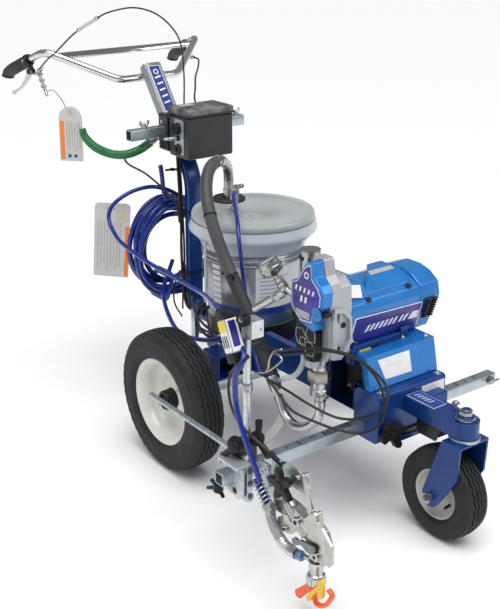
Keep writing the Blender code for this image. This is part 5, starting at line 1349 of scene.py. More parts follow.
def build_housing():
    dress("rod_guard", BLACK, 0.0020)
    dress("motor_rotor", STEEL, 0.0)
    dress("drive_gear", DARK_STEEL, 0.0)
    near, split, far = low("drive_cover").y, -0.2190, -0.1490
    tower = [(0.414, 0.458), (0.500, 0.458), (0.512, 0.475), (0.514, 0.600), (0.512, 0.664), (0.494, 0.682),
             (0.484, 0.724),
             (0.446, 0.724), (0.436, 0.690), (0.414, 0.668)]
    lower = [(0.414, 0.458), (0.500, 0.458), (0.512, 0.475), (0.514, 0.600), (0.510, 0.650), (0.486, 0.672),
             (0.430, 0.672),
             (0.414, 0.660)]
    case = Shape().prism(rounded(tower, 0.007, 4), "y", split + 0.0004, -0.1860)
    case.prism(rounded(lower, 0.007, 4), "y", split + 0.0006, far)
    # knee: a raised rim round a recess that faces forward
    rim = [(-0.212, 0.606), (-0.181, 0.600), (-0.155, 0.574), (-0.151, 0.507), (-0.186, 0.466),
           (-0.214, 0.470), (-0.216, 0.520)]
    hole = [(-0.206, 0.592), (-0.185, 0.588), (-0.163, 0.566), (-0.160, 0.512), (-0.186, 0.480),
            (-0.200, 0.484), (-0.202, 0.540)]
    rings = [[case.bm.verts.new(Vector((x, a, b))) for a, b in ring] for x in (0.500,
        0.5238) for ring in (rim, hole)]
    for one, two in ((0, 2), (1, 3), (0, 1), (2, 3)):
        for k in range(len(rim)):
            n = (k + 1) % len(rim)
            case.bm.faces.new((rings[one][k], rings[one][n], rings[two][n], rings[two][k]))
    rib = [(-0.2165, 0.576), (-0.204, 0.572), (-0.195, 0.560), (-0.195, 0.527), (-0.199, 0.507),
           (-0.2165, 0.510)]
    case.prism(rounded(rib, 0.003, 2), "x", 0.505, 0.5235)
    case = case.piece("housing_case", SILVER, "chassis", bevel=0.0030)
    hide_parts("bearing_housing")
    # flat dark discs: painted shade of the wells in the housing
    wells = Shape()
    wells.turned([(0, 0), (0.0075, 0), (0.0075, 0.0012), (0, 0.0012)], (0.5142, -0.176, 0.553), X, 20)
    wells.turned([(0, 0), (0.0045, 0), (0.0045, 0.0012), (0, 0.0012)], (0.5142, -0.189, 0.494), X, 16)
    wells.piece("housing_well_shade", HOLE_SHADE_AND_BLACK, "chassis")

    outline = [(0.400, 0.590), (0.402, 0.655), (0.424, 0.664), (0.452, 0.708), (0.470, 0.722), (0.486, 0.722),
               (0.490, 0.686),
               (0.512, 0.668), (0.524, 0.650), (0.520, 0.612), (0.498, 0.598), (0.492, 0.566), (0.494, 0.543),
               (0.438, 0.556),
               (0.420, 0.572)]
    front = Shape().prism(rounded(outline, 0.005, 4), "y", near, split)
    front = front.piece("cover_case", BRIGHT_BLUE, "chassis", bevel=0.0040)
    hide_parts("drive_cover")
    Shape().turned([(0, 0), (0.022, 0), (0.024, 0.003), (0.024, 0.018), (0, 0.018)], (0.458, -0.222, 0.438),
                   Z, 28).piece(
        "rod_collar", SILVER, "chassis")

    face = near
    cover = [(0.408, 0.592), (0.406, 0.652), (0.427, 0.661), (0.455, 0.702), (0.470, 0.713), (0.477, 0.712),
             (0.480, 0.679), (0.505, 0.660),
             (0.515, 0.643), (0.512, 0.616), (0.488, 0.598), (0.483, 0.566), (0.440, 0.562), (0.424, 0.574)]
    Shape().prism(rounded(cover, 0.004, 3), "y", face - 0.0010, face).piece("cover_label_border", LABEL_WHITE,
        "chassis")
    Shape().prism(rounded(offset(cover, 0.955), 0.004, 3), "y", face - 0.0018,
                  face - 0.0010).piece("cover_label_field", VIOLET, "chassis")
    marks = Shape()
    marks.turned([(0.0055, 0), (0.0088, 0), (0.0088, 0.0005), (0.0055, 0.0005)],
                 (0.463, face - 0.0018, 0.684), -Y, 28)
    for k in range(5):
        start = 0.420 + 0.016 * k
        marks.prism([(start, 0.638), (start + 0.006, 0.638), (start + 0.010, 0.651), (start + 0.004, 0.651)],
                    "y", face - 0.0024, face - 0.0018)
    for k in range(2):
        start = 0.440 + 0.016 * k
        marks.prism([(start, 0.612), (start + 0.008, 0.612), (start + 0.011, 0.628), (start + 0.003, 0.628)],
                    "y", face - 0.0024, face - 0.0018)
    marks.piece("cover_marks", LABEL_WHITE, "chassis")
    Shape().prism([(0.430, 0.570), (0.478, 0.572), (0.478, 0.590), (0.424, 0.590)], "y", face - 0.0026,
                  face - 0.0018).piece(
        "cover_plate_grey", LABEL_GREY, "chassis")
    notch = Shape().turned([(0, 0), (0.0165, 0), (0.0175, 0.0012), (0, 0.0012)],
                           (0.505, face - 0.0028, 0.597), -Y, 28)
    notch.piece("cover_notch", BRIGHT_BLUE, "chassis")
    # dark box: painted shade of the slot in the cover
    Shape().box((0.5060, face + 0.010, 0.588), (0.5230, face + 0.030, 0.600)).piece("cover_slot_shade", HOLE_SHADE_AND_BLACK,
        "chassis", bevel=0.002)
    Shape().turned([(0, 0), (0.010, 0), (0.011, 0.002), (0.011, 0.012), (0.008, 0.016), (0, 0.016)],
                   (0.410, face + 0.020, 0.560),
                   Vector((-0.8, -0.4, -0.2)), 18).piece("cover_screw_cap", BLACK, "chassis")

    # pale outlines of hexagons on the black guard
    guard_face = low("rod_guard").y
    lines = Shape()
    for cx, cz, size in ((0.428, 0.512, 0.024), (0.470, 0.528, 0.022), (0.464, 0.488, 0.020),
                         (0.438, 0.500, 0.013)):
        ring = [Vector((cx + a, guard_face - 0.0008, cz + b)) for a, b in circle(size, 6, 0.2)]
        ring = [Vector((min(max(p.x, 0.4105), 0.4845), p.y, min(max(p.z, 0.4645), 0.549))) for p in ring]
        lines.tube(ring, 0.0011, 6, closed=True)
    lines.piece("guard_outlines", LABEL_GREY, "chassis")


def build_pump():
    for node, finish in (("pump_cylinder", ALUMINIUM), ("filter_housing", STEEL)):
        dress(node, finish, 0.0008)
    bend = curve([(0.290, -0.200, 0.284), (0.303, -0.200, 0.262), (0.318, -0.200, 0.240),
                  (0.340, -0.200, 0.225), (0.366, -0.200, 0.222),
                  (0.398, -0.200, 0.232), (0.432, -0.200, 0.255), (0.456, -0.200, 0.284),
                  (0.464, -0.200, 0.312), (0.461, -0.200, 0.350)], 6)
    bent = Shape().tube(bend, 0.0128, 22)
    bent.turned([(0.0128, 0), (0.0150, 0.001), (0.0150, 0.018), (0.0128, 0.019)], (0.4635, -0.200, 0.318), Z,
                24)
    bent = bent.piece("intake_bend", ALUMINIUM, "chassis", smooth=60)
    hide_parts("intake_tube")
    dress("pump_rod", CHROME, 0.0)
    axis = middle("pump_cylinder")
    place = Vector((axis.x, axis.y, 0))
    body = Shape().turned([(0.0220, 0.432), (0.0235, 0.434), (0.0235, 0.452), (0.0200, 0.456)], place, Z, 36)
    body.turned([(0.0100, 0.3450), (0.0145, 0.3450), (0.0175, 0.3490), (0.0245, 0.3520), (0.0245, 0.3580),
                 (0.0200, 0.3600), (0.0100, 0.3600)], place, Z, 36)
    body.piece("pump_rings", STEEL, "chassis")
    nut = Shape().turned([(0.0180, 0.3640), (0.0215, 0.3700), (0.0225, 0.3860), (0.0290, 0.3900),
                          (0.0310, 0.3930), (0.0310, 0.4180), (0.0290, 0.4210), (0.0215, 0.4210)], place, Z,
                         6)
    nut.piece("pump_jam_nut", surface("bronze_steel", (0.40, 0.375, 0.335), 1.0, 0.34, vary=0.10), "chassis",
              bevel=0.001)
    flange = Shape().box((place.x - 0.030, place.y - 0.008, 0.3480),
                         (place.x + 0.030, place.y + 0.008, 0.3560))
    flange.piece("inlet_flange", STEEL, "chassis", bevel=0.0015)
    lug = Shape().bolt((place.x + 0.025, place.y, 0.3560), Z, 0.0045)
    lug.bolt((place.x - 0.025, place.y, 0.3560), Z, 0.0045)
    lug.piece("flange_bolts", STEEL, "chassis")

    bowl = middle("filter_housing")
    top = high("filter_housing").z
    rings = Shape()
    for z, size in ((top - 0.002, 0.0255), (top - 0.052, 0.0262), (top - 0.058, 0.0258),
                    (top - 0.100, 0.0260)):
        rings.turned([(size - 0.003, -0.002), (size, -0.0015), (size, 0.0015), (size - 0.003, 0.002)],
                     (bowl.x, bowl.y, z), Z, 40)
    rings.piece("filter_rings", DARK_STEEL, "chassis")
    # dark boxes round the bowl: painted shade of its slots
    slots = Shape()
    for k in range(8):
        a = math.tau * k / 8
        spot = Vector((bowl.x + 0.0258 * math.cos(a), bowl.y + 0.0258 * math.sin(a), top - 0.022))
        slots.box(spot - Vector((0.0028, 0.0028, 0.005)), spot + Vector((0.0028, 0.0028, 0.005)),
                  Matrix.Rotation(a, 3, "Z"))
    slots.piece("filter_slot_shade", HOLE_SHADE_AND_BLACK, "chassis")

    gauge_axis = Vector((-0.45, -0.30, 0.84)).normalized()
    gauge = Vector((0.288, -0.226, 0.650))
    dress("pressure_gauge", STEEL, 0.0010)
    back = Shape().turned([(0.0262, -0.006), (0.0318, -0.006), (0.0328, -0.004), (0.0328, 0.000),
                           (0.0318, 0.002), (0.0262, 0.002)],
                          gauge, gauge_axis, 40)
    back.turned([(0.0262, 0.0145), (0.0325, 0.0145), (0.0335, 0.0165), (0.0335, 0.0185), (0.0300, 0.0205),
                 (0.0262, 0.0205)],
                gauge, gauge_axis, 40)
    back.piece("gauge_rims", STEEL, "chassis")
    Shape().turned([(0, 0.0140), (0.0255, 0.0140), (0.0255, 0.0172), (0, 0.0172)], gauge, gauge_axis,
                   36).piece("gauge_dial", LABEL_WHITE, "chassis")
    needle = Shape().tube([gauge + gauge_axis * 0.0182,
                           gauge + gauge_axis * 0.0182 + Vector((0.012, -0.010, 0.003))], 0.0009, 6)
    for k in range(9):
        a = math.radians(-130 + 32.5 * k)
        side = gauge_axis.orthogonal().normalized()
        other = gauge_axis.cross(side)
        spot = gauge + gauge_axis * 0.0174 + (side * math.cos(a) + other * math.sin(a)) * 0.0205
        needle.rod(spot, spot + gauge_axis * 0.0005, 0.0011, 8)
    needle.piece("gauge_needle", BLACK, "chassis")
    plug = gauge + Vector((0.0265, -0.012, -0.004))
    Shape().rod(plug - Vector((0.004, -0.003, 0)), plug + Vector((0.008, -0.006, 0)), 0.0072,
                16).piece("gauge_plug", RUBBER, "chassis")
    start, elbow, end = gauge - gauge_axis * 0.018, Vector((0.335, -0.214, 0.598)), Vector((0.372, -0.208,
        0.588))
    down = (elbow - start).normalized()
    Shape().turned([(0.004, 0), (0.0095, 0), (0.0105, 0.002), (0.0105, 0.012), (0.0095, 0.014),
                    (0.0085, 0.015), (0.0085, 0.022), (0.004, 0.022)],
                   start, down, 6).piece("gauge_adapter", BRASS, "chassis")
    hexes = Shape()
    for share, size in ((0.46, 0.0125), (0.72, 0.0140)):
        hexes.turned([(0.004, -0.007), (size - 0.001, -0.007), (size, -0.005), (size, 0.005),
                      (size - 0.001, 0.007), (0.004, 0.007)],
                     start.lerp(elbow, share), down, 6)
    hexes.turned([(0.004, -0.002), (0.0130, -0.002), (0.0140, 0.0), (0.0140, 0.014), (0.0130, 0.016),
                  (0.004, 0.016)], elbow - (end - elbow) * 0.35,
                 end - elbow, 6)
    hexes.piece("gauge_fittings", STEEL, "chassis")
    low_end = Vector((0.232, -0.236, 0.520))
    along = (low_end - elbow).normalized()
    line = Shape().rod(elbow, elbow + along * 0.030, 0.0115, 18)
    line.turned([(0.004, 0.026), (0.0125, 0.026), (0.0135, 0.028), (0.0135, 0.046), (0.0125, 0.048),
                 (0.004, 0.048)], elbow, along, 6)
    line.rod(elbow + along * 0.046, low_end, 0.0105, 20)
    line.piece("outlet_pipe", ALUMINIUM, "chassis")

    # hoses of the suction side
    hose = curve([(0.2700, -0.2000, 0.3180), (0.218, -0.200, 0.388), (0.171, -0.202, 0.461),
                  (0.115, -0.204, 0.531), (0.061, -0.205, 0.596),
                  (0.017, -0.207, 0.663), (-0.013, -0.205, 0.712), (-0.051, -0.190, 0.761),
                  (-0.083, -0.165, 0.797), (-0.105, -0.138, 0.817),
                  (-0.122, -0.110, 0.823)], 8)
    made = Shape().tube(hose, 0.0175, 22).piece("suction_hose_smooth", HOSE_GREY, "chassis", smooth=60)
    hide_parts("suction_hose")
    split = len(hose) // 3
    Shape().tube(hose[:split + 2], 0.0184, 22).piece("suction_hose_sleeve", RUBBER, "chassis", smooth=60)
    top = low("suction_pipe").x + 0.0138
    bend = curve([(-0.119, -0.115, 0.823), (-0.138, -0.084, 0.822), (-0.158, -0.056, 0.811),
                  (-0.186, -0.022, 0.782), (top, 0.0, 0.740), (top, 0.0, 0.690)], 8)
    made = Shape().tube(bend, 0.0150, 22)
    made.turned([(0.0150, 0), (0.0172, 0), (0.0172, 0.012), (0.0150, 0.012)], bend[6], bend[8] - bend[6], 24)
    made.turned([(0.0150, 0), (0.0170, 0), (0.0170, 0.010), (0.0150, 0.010)], (top, 0, 0.700), Z, 24)
    made = made.piece("suction_elbow", STEEL, "chassis", smooth=60)
    dress("suction_pipe", ALUMINIUM, 0.0)
    ties = Shape()
    for index in (28, 48):
        direction = (hose[index + 1] - hose[index]).normalized()
        ties.turned([(0.0176, -0.0022), (0.0192, -0.0022), (0.0192, 0.0022), (0.0176, 0.0022)], hose[index],
                    direction, 28)
    spot = hose[28]
    ties.rod(spot + Vector((-0.020, -0.004, -0.002)), spot + Vector((-0.036, -0.006, 0.000)), 0.0050, 8)
    ties.rod(spot + Vector((0.016, -0.010, 0.004)), spot + Vector((0.026, -0.014, 0.006)), 0.0060, 8)
    ties.piece("suction_ties", BLACK, "chassis")
    joint = Vector((0.266, -0.200, 0.324))
    slope = (Vector((0.300, -0.200, 0.267)) - joint).normalized()
    ferrule = Shape().turned([(0.0137, -0.006), (0.0190, -0.006), (0.0198, -0.002), (0.0170, 0.030),
                              (0.0150, 0.036), (0.0137, 0.036)], joint, slope, 26)
    ferrule.piece("suction_ferrule", ALUMINIUM, "chassis")
    clear = curve([(0.330, -0.160, 0.452), (0.352, -0.165, 0.400), (0.330, -0.172, 0.350),
                   (0.280, -0.176, 0.318)], 8)
    Shape().tube(clear, 0.0078, 12).piece("clear_drain_tube", CLEAR, "chassis")


# ---------------------------------------------------------------- gun side
def build_bar():
    dress("gun_bar", ZINC, 0.0012)
    lo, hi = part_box("gun_bar")
    mid = middle("gun_bar")
    # dark round holes and slots on the bar top: painted shade in the openings
    holes = Shape()
    slots = [-0.400 + 0.040 * k for k in range(7)] + [0.200 + 0.036 * k for k in range(4)]
    for k, y in enumerate(slots):
        if k % 2:
            holes.rod((mid.x, y, hi.z - 0.001), (mid.x, y, hi.z + 0.0004), 0.0030, 12)
        else:
            holes.box((mid.x - 0.009, y - 0.0018, hi.z - 0.001), (mid.x + 0.009, y + 0.0018, hi.z + 0.0004))
    holes.piece("bar_hole_shade", HOLE_SHADE_AND_BLACK, "gun_bar")
    nut = Shape().rod((hi.x, hi.y - 0.022, mid.z), (hi.x + 0.016, hi.y - 0.022, mid.z), 0.0055, 14)
    nut.bolt((hi.x + 0.004, hi.y - 0.022, mid.z), X, 0.0085)
    for side in (-1, 1):
        nut.tube(curve([(hi.x + 0.010, hi.y - 0.022 + side * 0.006, mid.z),
                        (hi.x + 0.016, hi.y - 0.022 + side * 0.016, mid.z + 0.004),
                        (hi.x + 0.020, hi.y - 0.022 + side * 0.014, mid.z + 0.012)]), 0.0045, 8, flat=0.6)
    nut.piece("bar_far_nut", STEEL, "gun_bar")


def build_pointer():
    dress("pointer_clamp", BLACK_PAINT, 0.003)
    dress("pointer_rod", ZINC, 0.0006)
    rod = middle("pointer_rod")
    grooves = Shape()
    for k in range(1, 5):
        x = rod.x - 0.2 + 0.09 * k
        grooves.turned([(0.0072, -0.0006), (0.0078, -0.0006), (0.0078, 0.0006), (0.0072, 0.0006)],
                       (x, rod.y, rod.z), X, 16)
    grooves.piece("rod_grooves", DARK_STEEL, "pointer_rod")
    knob_axis = Vector((0.25, -1, 0.05)).normalized()
    face = Vector((0.536, low("pointer_clamp").y - 0.001, 0.346))
    hub = Shape().turned([(0, -0.012), (0.013, -0.012), (0.017, 0), (0.021, 0.004), (0.021, 0.010),
                          (0.018, 0.018), (0.011, 0.022), (0, 0.022)],
                         face, knob_axis, 28)
    hub.tube(curve([face + Vector((-0.004, -0.012, -0.012)), face + Vector((-0.022, -0.014, -0.028)),
                    face + Vector((-0.042, -0.014, -0.044))]),
             lambda t: 0.0085 - 0.0015 * t, 12)
    hub.tube(curve([face + Vector((0.006, -0.012, 0.008)), face + Vector((0.022, -0.010, 0.014))]),
             lambda t: 0.0080, 12)
    hub.piece("clamp_hub_near", BLACK, "gun_bar")
    second = Vector((0.548, -0.468, 0.352))
    other = Shape().turned([(0, -0.010), (0.013, -0.010), (0.014, 0), (0.018, 0.004), (0.018, 0.010),
                            (0.014, 0.016), (0, 0.018)],
                           second, Vector((1, -0.3, 0.1)), 26)
    other.tube(curve([second + Vector((0.010, -0.002, 0.004)), second + Vector((0.012, -0.002, 0.026)),
                      second + Vector((0.013, -0.002, 0.050))]),
               lambda t: 0.0062 + 0.0030 * t, 12)
    other.tube(curve([second + Vector((0.012, -0.002, -0.004)), second + Vector((0.036, -0.006, -0.010)),
                      second + Vector((0.062, -0.010, -0.018))]),
               lambda t: 0.0075 + 0.002 * t, 12)
    other.piece("clamp_hub_far", BLACK, "gun_bar")
    lo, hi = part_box("pointer_pole")
    pole_xy = Vector((0.5257, -0.478, 0))
    made = Shape().rod(pole_xy + Z * lo.z, pole_xy + Z * 0.612, 0.0095, 24)
    made.box((0.5180, lo.y, 0.6085), (0.5570, -0.4540, 0.6500))
    made.prism(rounded([(0.5180, 0.6085), (0.5180, 0.5980), (0.5240, 0.5960), (0.5570, 0.6085)], 0.001, 1),
               "y", lo.y, lo.y + 0.003)
    made = made.piece("pole_and_head", ZINC_BRIGHT, "pointer_pole", bevel=0.0012)
    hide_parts("pointer_pole")
    collar = Shape().turned([(0.0098, -0.010), (0.0125, -0.010), (0.0135, -0.008), (0.0135, 0.008),
                             (0.0125, 0.010), (0.0098, 0.010)], pole_xy + Z * 0.478, Z, 24)
    for z in (0.365, 0.398, 0.432):
        collar.turned([(0.0094, -0.0006), (0.0099, -0.0006), (0.0099, 0.0006), (0.0094, 0.0006)],
                      pole_xy + Z * z, Z, 24)
    collar.piece("pole_collar", STEEL, "pointer_pole")
    hooks = Shape().tube(curve([(0.534, -0.476, 0.508), (0.545, -0.460, 0.516), (0.564, -0.455, 0.522),
                                (0.575, -0.455, 0.538), (0.579, -0.455, 0.559),
                                (0.594, -0.455, 0.583), (0.623, -0.455, 0.601)], 5), 0.0021, 8)
    hooks.tube(curve([(0.564, -0.455, 0.522), (0.590, -0.455, 0.541), (0.620, -0.455, 0.569),
                      (0.624, -0.455, 0.578), (0.609, -0.455, 0.584),
                      (0.594, -0.455, 0.583)], 5), 0.0021, 8)
    hooks.piece("cable_hooks", STEEL, "pointer_pole")
    pins = Shape()
    for x, y in ((0.526, -0.468), (0.548, -0.476)):
        pins.rod((x, y, 0.6500), (x, y, 0.6515), 0.0026, 10)
    pins.rod((0.5570, -0.462, 0.628), (0.5586, -0.462, 0.628), 0.0024, 10)
    pins.piece("pole_head_pins", DARK_STEEL, "pointer_pole")
    knob = Shape()
    spot = pivot("laser_tilt") + Vector((0.026, -0.006, 0.033))
    for k in range(6):
        a = math.tau * k / 6 + 0.4
        centre = spot + Vector((0.0125 * math.cos(a), 0, 0.0125 * math.sin(a)))
        knob.turned([(0, 0), (0.0060, 0), (0.0068, 0.002), (0.0068, 0.012), (0.0055, 0.014), (0, 0.014)],
                    centre, -Y, 14)
    knob.turned([(0, -0.006), (0.0130, -0.006), (0.0130, 0.013), (0, 0.013)], spot, -Y, 20)
    knob.piece("laser_knob", BLACK, "pointer_pole")
    Shape().bolt(spot - Y * 0.013, -Y, 0.0050).piece("laser_knob_bolt", STEEL, "pointer_pole")
    build_laser()


def build_laser():
    tilt = math.radians(26)
    down = Vector((math.sin(tilt), 0, -math.cos(tilt)))
    ahead = Vector((math.cos(tilt), 0, math.sin(tilt)))
    half = 0.0162
    centre = pivot("laser_tilt") + Vector((-0.001, -0.0265, -0.012))

    def slab(start, end, half_x, half_y, shape=None):
        shape = shape or Shape()
        outline = rounded([(-half_x, -half_y), (half_x, -half_y), (half_x, half_y), (-half_x, half_y)], 0.004,
                          3)
        return shape.plate(outline, centre + down * start, ahead, Y, -(end - start))

    made = slab(-0.040, 0.040, half, half).piece("laser_case", SILVER, "laser_module", bevel=0.001)
    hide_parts("laser_module")
    caps = slab(-0.060, -0.038, half + 0.0014, half + 0.0014)
    slab(0.038, 0.062, half + 0.0014, half + 0.0014, caps)
    caps.piece("laser_caps", BLACK, "laser_module", bevel=0.003)
    tail = centre + down * 0.062
    Shape().rod(tail, tail + down * 0.016, 0.010, 16).rod(tail + down * 0.012, tail + down * 0.028, 0.0055,
                                                          12).piece(
        "laser_gland", BLACK, "laser_module")

    def sticker(name, axis, side, a0, a1, d0, d1, material, lift=0.0003):
        normal = ahead if axis == "x" else Y
        across = Y if axis == "x" else ahead
        base = centre + normal * side * (half + 0.0002 + lift)
        outline = [(a0, d0), (a1, d0), (a1, d1), (a0, d1)]
        thick = 0.0004 * side * (1 if across.cross(down).dot(normal) > 0 else -1)
        Shape().plate(outline, base, across, down, thick).piece(name, material, "laser_module")

    sticker("laser_label_near", "y", -1, -0.0148, 0.0148, -0.036, 0.036, LABEL_WHITE)
    sticker("laser_label_yellow", "y", -1, -0.0146, 0.0146, -0.036, -0.010, LABEL_YELLOW, 0.0008)
    for k in range(3):
        sticker(f"laser_label_bar_{k}", "y", -1, -0.011 + 0.008 * k, -0.0072 + 0.008 * k, -0.002, 0.026, HOLE_SHADE_AND_BLACK,
                0.0008)
    sticker("laser_label_front", "x", 1, -0.0150, 0.0150, -0.038, 0.036, LABEL_WHITE)
    sticker("laser_label_violet", "x", 1, -0.0105, 0.0085, -0.034, 0.026, VIOLET, 0.0008)


def build_carriage():
    plate = [(0.506, 0.236), (0.514, 0.218), (0.556, 0.210), (0.572, 0.222), (0.576, 0.300), (0.500, 0.300),
             (0.502, 0.252)]
    made = Shape().prism(rounded(plate, 0.008, 4), "y", -0.5280, -0.5200)
    made.box((0.4985, -0.5450, 0.2985), (0.5760, -0.5000, 0.3065))
    made.box((0.4985, -0.5450, 0.2890), (0.5060, -0.5180, 0.3000))
    made.box((0.5000, -0.5200, 0.2800), (0.5700, -0.5000, 0.3000))
    made.prism([(0.5000, 0.210), (0.5080, 0.208), (0.5080, 0.300), (0.5000, 0.300)], "y", -0.5200, -0.5000)
    made = made.piece("carriage_bracket", SILVER_LIGHT, "gun_carriage", bevel=0.0022)
    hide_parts("gun_carriage")
    # dark plate on the bracket: painted shade of its slot
    slot_outline = rounded([(0.536, 0.222), (0.552, 0.222), (0.552, 0.238), (0.536, 0.238)], 0.007, 5)
    Shape().prism(slot_outline, "y", -0.5284, -0.5278).piece("carriage_slot_shade", HOLE_SHADE_AND_BLACK, "gun_carriage")
    strip = Shape().box((0.5495, -0.5155, 0.206), (0.5775, -0.4990, 0.3035))
    strip.piece("carriage_channel", ZINC, "gun_carriage", bevel=0.002)
    bolts = Shape()
    for z in (0.290, 0.256, 0.222):
        bolts.bolt((0.5778, -0.507, z), X, 0.0062)
    bolts.piece("carriage_bolts", DARK_STEEL, "gun_carriage")
    place = pivot("carriage_knob_turn")
    wings = Shape().turned([(0, -0.024), (0.010, -0.024), (0.013, -0.018), (0.011, -0.001), (0, -0.001)],
                           place, Z, 20)
    for dx, dy, dz in ((-0.038, -0.004, -0.030), (0.016, 0.004, -0.034), (-0.020, -0.006, 0.002)):
        tip = place + Vector((dx, dy, dz))
        wings.tube(curve([place + Vector((0, 0, -0.014)), place.lerp(tip, 0.5) + Z * -0.006, tip]),
                   lambda t: 0.0066 - 0.0022 * t, 10)
    made = wings.piece("carriage_wing_knob", BLACK, "carriage_knob")
    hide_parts("carriage_knob")


def build_gun():
    near = low("gun_arm").y
    plate = [(0.664, 0.318), (0.672, 0.356), (0.694, 0.366), (0.742, 0.366), (0.762, 0.357), (0.786, 0.334),
             (0.774, 0.318), (0.710, 0.314)]
    bracket = [(0.590, 0.246), (0.636, 0.240), (0.664, 0.262), (0.690, 0.300), (0.664, 0.330), (0.600, 0.326),
               (0.586, 0.306)]
    made = Shape().prism(rounded(bracket, 0.008, 4), "y", near, near + 0.006).piece("gun_mount_plate", ZINC,
        "gun_arm", bevel=0.001)
    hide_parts("gun_arm")
    upper = Shape().prism(rounded(plate, 0.004, 3), "y", near - 0.003, near + 0.001)
    upper.prism(rounded([(0.654, 0.322), (0.663, 0.364), (0.690, 0.368), (0.690, 0.356), (0.672, 0.352),
                         (0.664, 0.322)], 0.002, 2), "y", near - 0.012, near - 0.003)
    upper.piece("gun_upper_bracket", GALVANISED, "gun_arm", bevel=0.0008)
    studs = Shape()
    for x, z in ((0.684, 0.350), (0.684, 0.332), (0.772, 0.332)):
        studs.bolt((x, near - 0.003, z), -Y, 0.0038, washer=False)
    studs.piece("gun_bracket_studs", STEEL, "gun_arm")
    sector = [(0.0, 0.0)] + [(0.046 * math.cos(math.radians(a)),
                              0.046 * math.sin(math.radians(a))) for a in range(60, 221, 10)]
    Shape().prism([(0.652 + a, 0.284 + b) for a, b in sector], "y", near - 0.0080,
                  near - 0.0060).piece("angle_sector", ZINC, "gun_arm")
    ticks = Shape()
    for a in range(80, 221, 20):
        c, s = math.cos(math.radians(a)), math.sin(math.radians(a))
        ticks.tube([Vector((0.652 + 0.036 * c, near - 0.0084, 0.284 + 0.036 * s)),
                    Vector((0.652 + 0.043 * c, near - 0.0084, 0.284 + 0.043 * s))], 0.0008, 5)
    ticks.piece("angle_ticks", HOLE_SHADE_AND_BLACK, "gun_arm")
    star = pivot("star_knob_turn")
    shape = Shape()
    outline = []
    for k in range(60):
        a = math.tau * k / 60
        swing = math.cos(5 * (a - math.radians(33)))
        reach = 0.0245 + 0.0175 * max(0.0, swing) ** 0.8 - 0.007 * max(0.0, -swing)
        outline.append((star.x + reach * math.cos(a), star.z + reach * math.sin(a)))
    shape.prism(outline, "y", -0.536, -0.521)
    shape.turned([(0, -0.002), (0.015, -0.002), (0.012, 0.014), (0, 0.014)], (star.x, -0.520, star.z), Y, 20)
    shape.turned([(0, 0), (0.013, 0), (0.010, 0.003), (0, 0.003)], (star.x, -0.536, star.z), -Y, 20)
    made = shape.piece("star_knob_moulding", BLACK, "star_knob", bevel=0.002, smooth=50)
    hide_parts("star_knob")

    casting = [(0.640, 0.236), (0.652, 0.248), (0.690, 0.266), (0.728, 0.264), (0.764, 0.254), (0.784, 0.274),
               (0.797, 0.283), (0.803, 0.252),
               (0.822, 0.244), (0.838, 0.212), (0.838, 0.172), (0.828, 0.160), (0.820, 0.172), (0.806, 0.160),
               (0.784, 0.164), (0.782, 0.196),
               (0.760, 0.211), (0.735, 0.214), (0.722, 0.190), (0.690, 0.184), (0.672, 0.190), (0.672, 0.212),
               (0.700, 0.228), (0.650, 0.226)]
    made = Shape().prism(rounded(casting, 0.005, 4), "y", -0.500, -0.474).piece("gun_casting", CAST,
        "gun_arm", bevel=0.003)
    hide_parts("gun_body")
    ribs = Shape()
    ribs.prism(rounded([(0.690, 0.232), (0.712, 0.238), (0.724, 0.222), (0.702, 0.216)], 0.003, 3), "y",
               -0.503, -0.500)
    ribs.rod((0.744, -0.508, 0.236), (0.744, -0.496, 0.236), 0.0125, 24)
    ribs.rod((0.812, -0.508, 0.182), (0.812, -0.496, 0.182), 0.0105, 24)
    ribs.rod((0.704, -0.506, 0.198), (0.704, -0.496, 0.198), 0.0080, 20)
    ribs.piece("gun_ribs", CAST, "gun_arm", bevel=0.0012)
    Shape().rod((0.700, -0.492, 0.262), (0.772, -0.492, 0.212), 0.0155, 24).piece("gun_barrel", STEEL,
        "gun_arm")
    # dark discs in the bosses: painted shade of the holes
    holes = Shape()
    for x, z, r in ((0.744, 0.236, 0.0055), (0.704, 0.198, 0.0036), (0.812, 0.182, 0.0046)):
        holes.rod((x, -0.5086, z), (x, -0.5078, z), r, 16)
    holes.piece("gun_hole_shade", HOLE_SHADE_AND_BLACK, "gun_arm")
    hook = [(0.733, 0.189), (0.744, 0.199), (0.758, 0.197), (0.764, 0.203), (0.790, 0.206), (0.812, 0.209),
            (0.815, 0.197), (0.800, 0.184), (0.786, 0.182),
            (0.768, 0.190), (0.752, 0.182), (0.740, 0.173)]
    Shape().prism(rounded(hook, 0.003, 3), "y", -0.509, -0.503).piece("gun_hook", DARK_STEEL, "gun_arm",
        bevel=0.001)

    link = [(0.762, 0.366), (0.768, 0.376), (0.782, 0.378), (0.789, 0.360), (0.804, 0.296), (0.799, 0.284),
            (0.790, 0.290), (0.776, 0.356)]
    cast = [(0.794, 0.286), (0.806, 0.298), (0.816, 0.290), (0.822, 0.276), (0.836, 0.268), (0.870, 0.238),
            (0.872, 0.196), (0.864, 0.184),
            (0.852, 0.186), (0.846, 0.202), (0.832, 0.230), (0.806, 0.252), (0.794, 0.268)]
    made = Shape().prism(rounded(link, 0.003, 3), "y", -0.5130, -0.5095)
    made.prism(rounded(cast, 0.005, 4), "y", -0.5095, -0.5015)
    for point in ((0.798, 0.292), (0.752, 0.356), (0.775, 0.370)):
        made.rod((point[0], -0.5140, point[1]), (point[0], -0.4985, point[1]), 0.0060, 16)
    made = made.piece("gun_pull", CAST, "gun_trigger", bevel=0.0012, smooth=40)
    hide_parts("gun_trigger")
    rods = Shape().rod((0.764, -0.495, 0.330), (0.786, -0.495, 0.286), 0.0048, 12)
    rods.rod((0.764, -0.495, 0.330), (0.760, -0.495, 0.352), 0.0070, 12)
    rods.piece("gun_needle_rod", STEEL, "gun_arm")

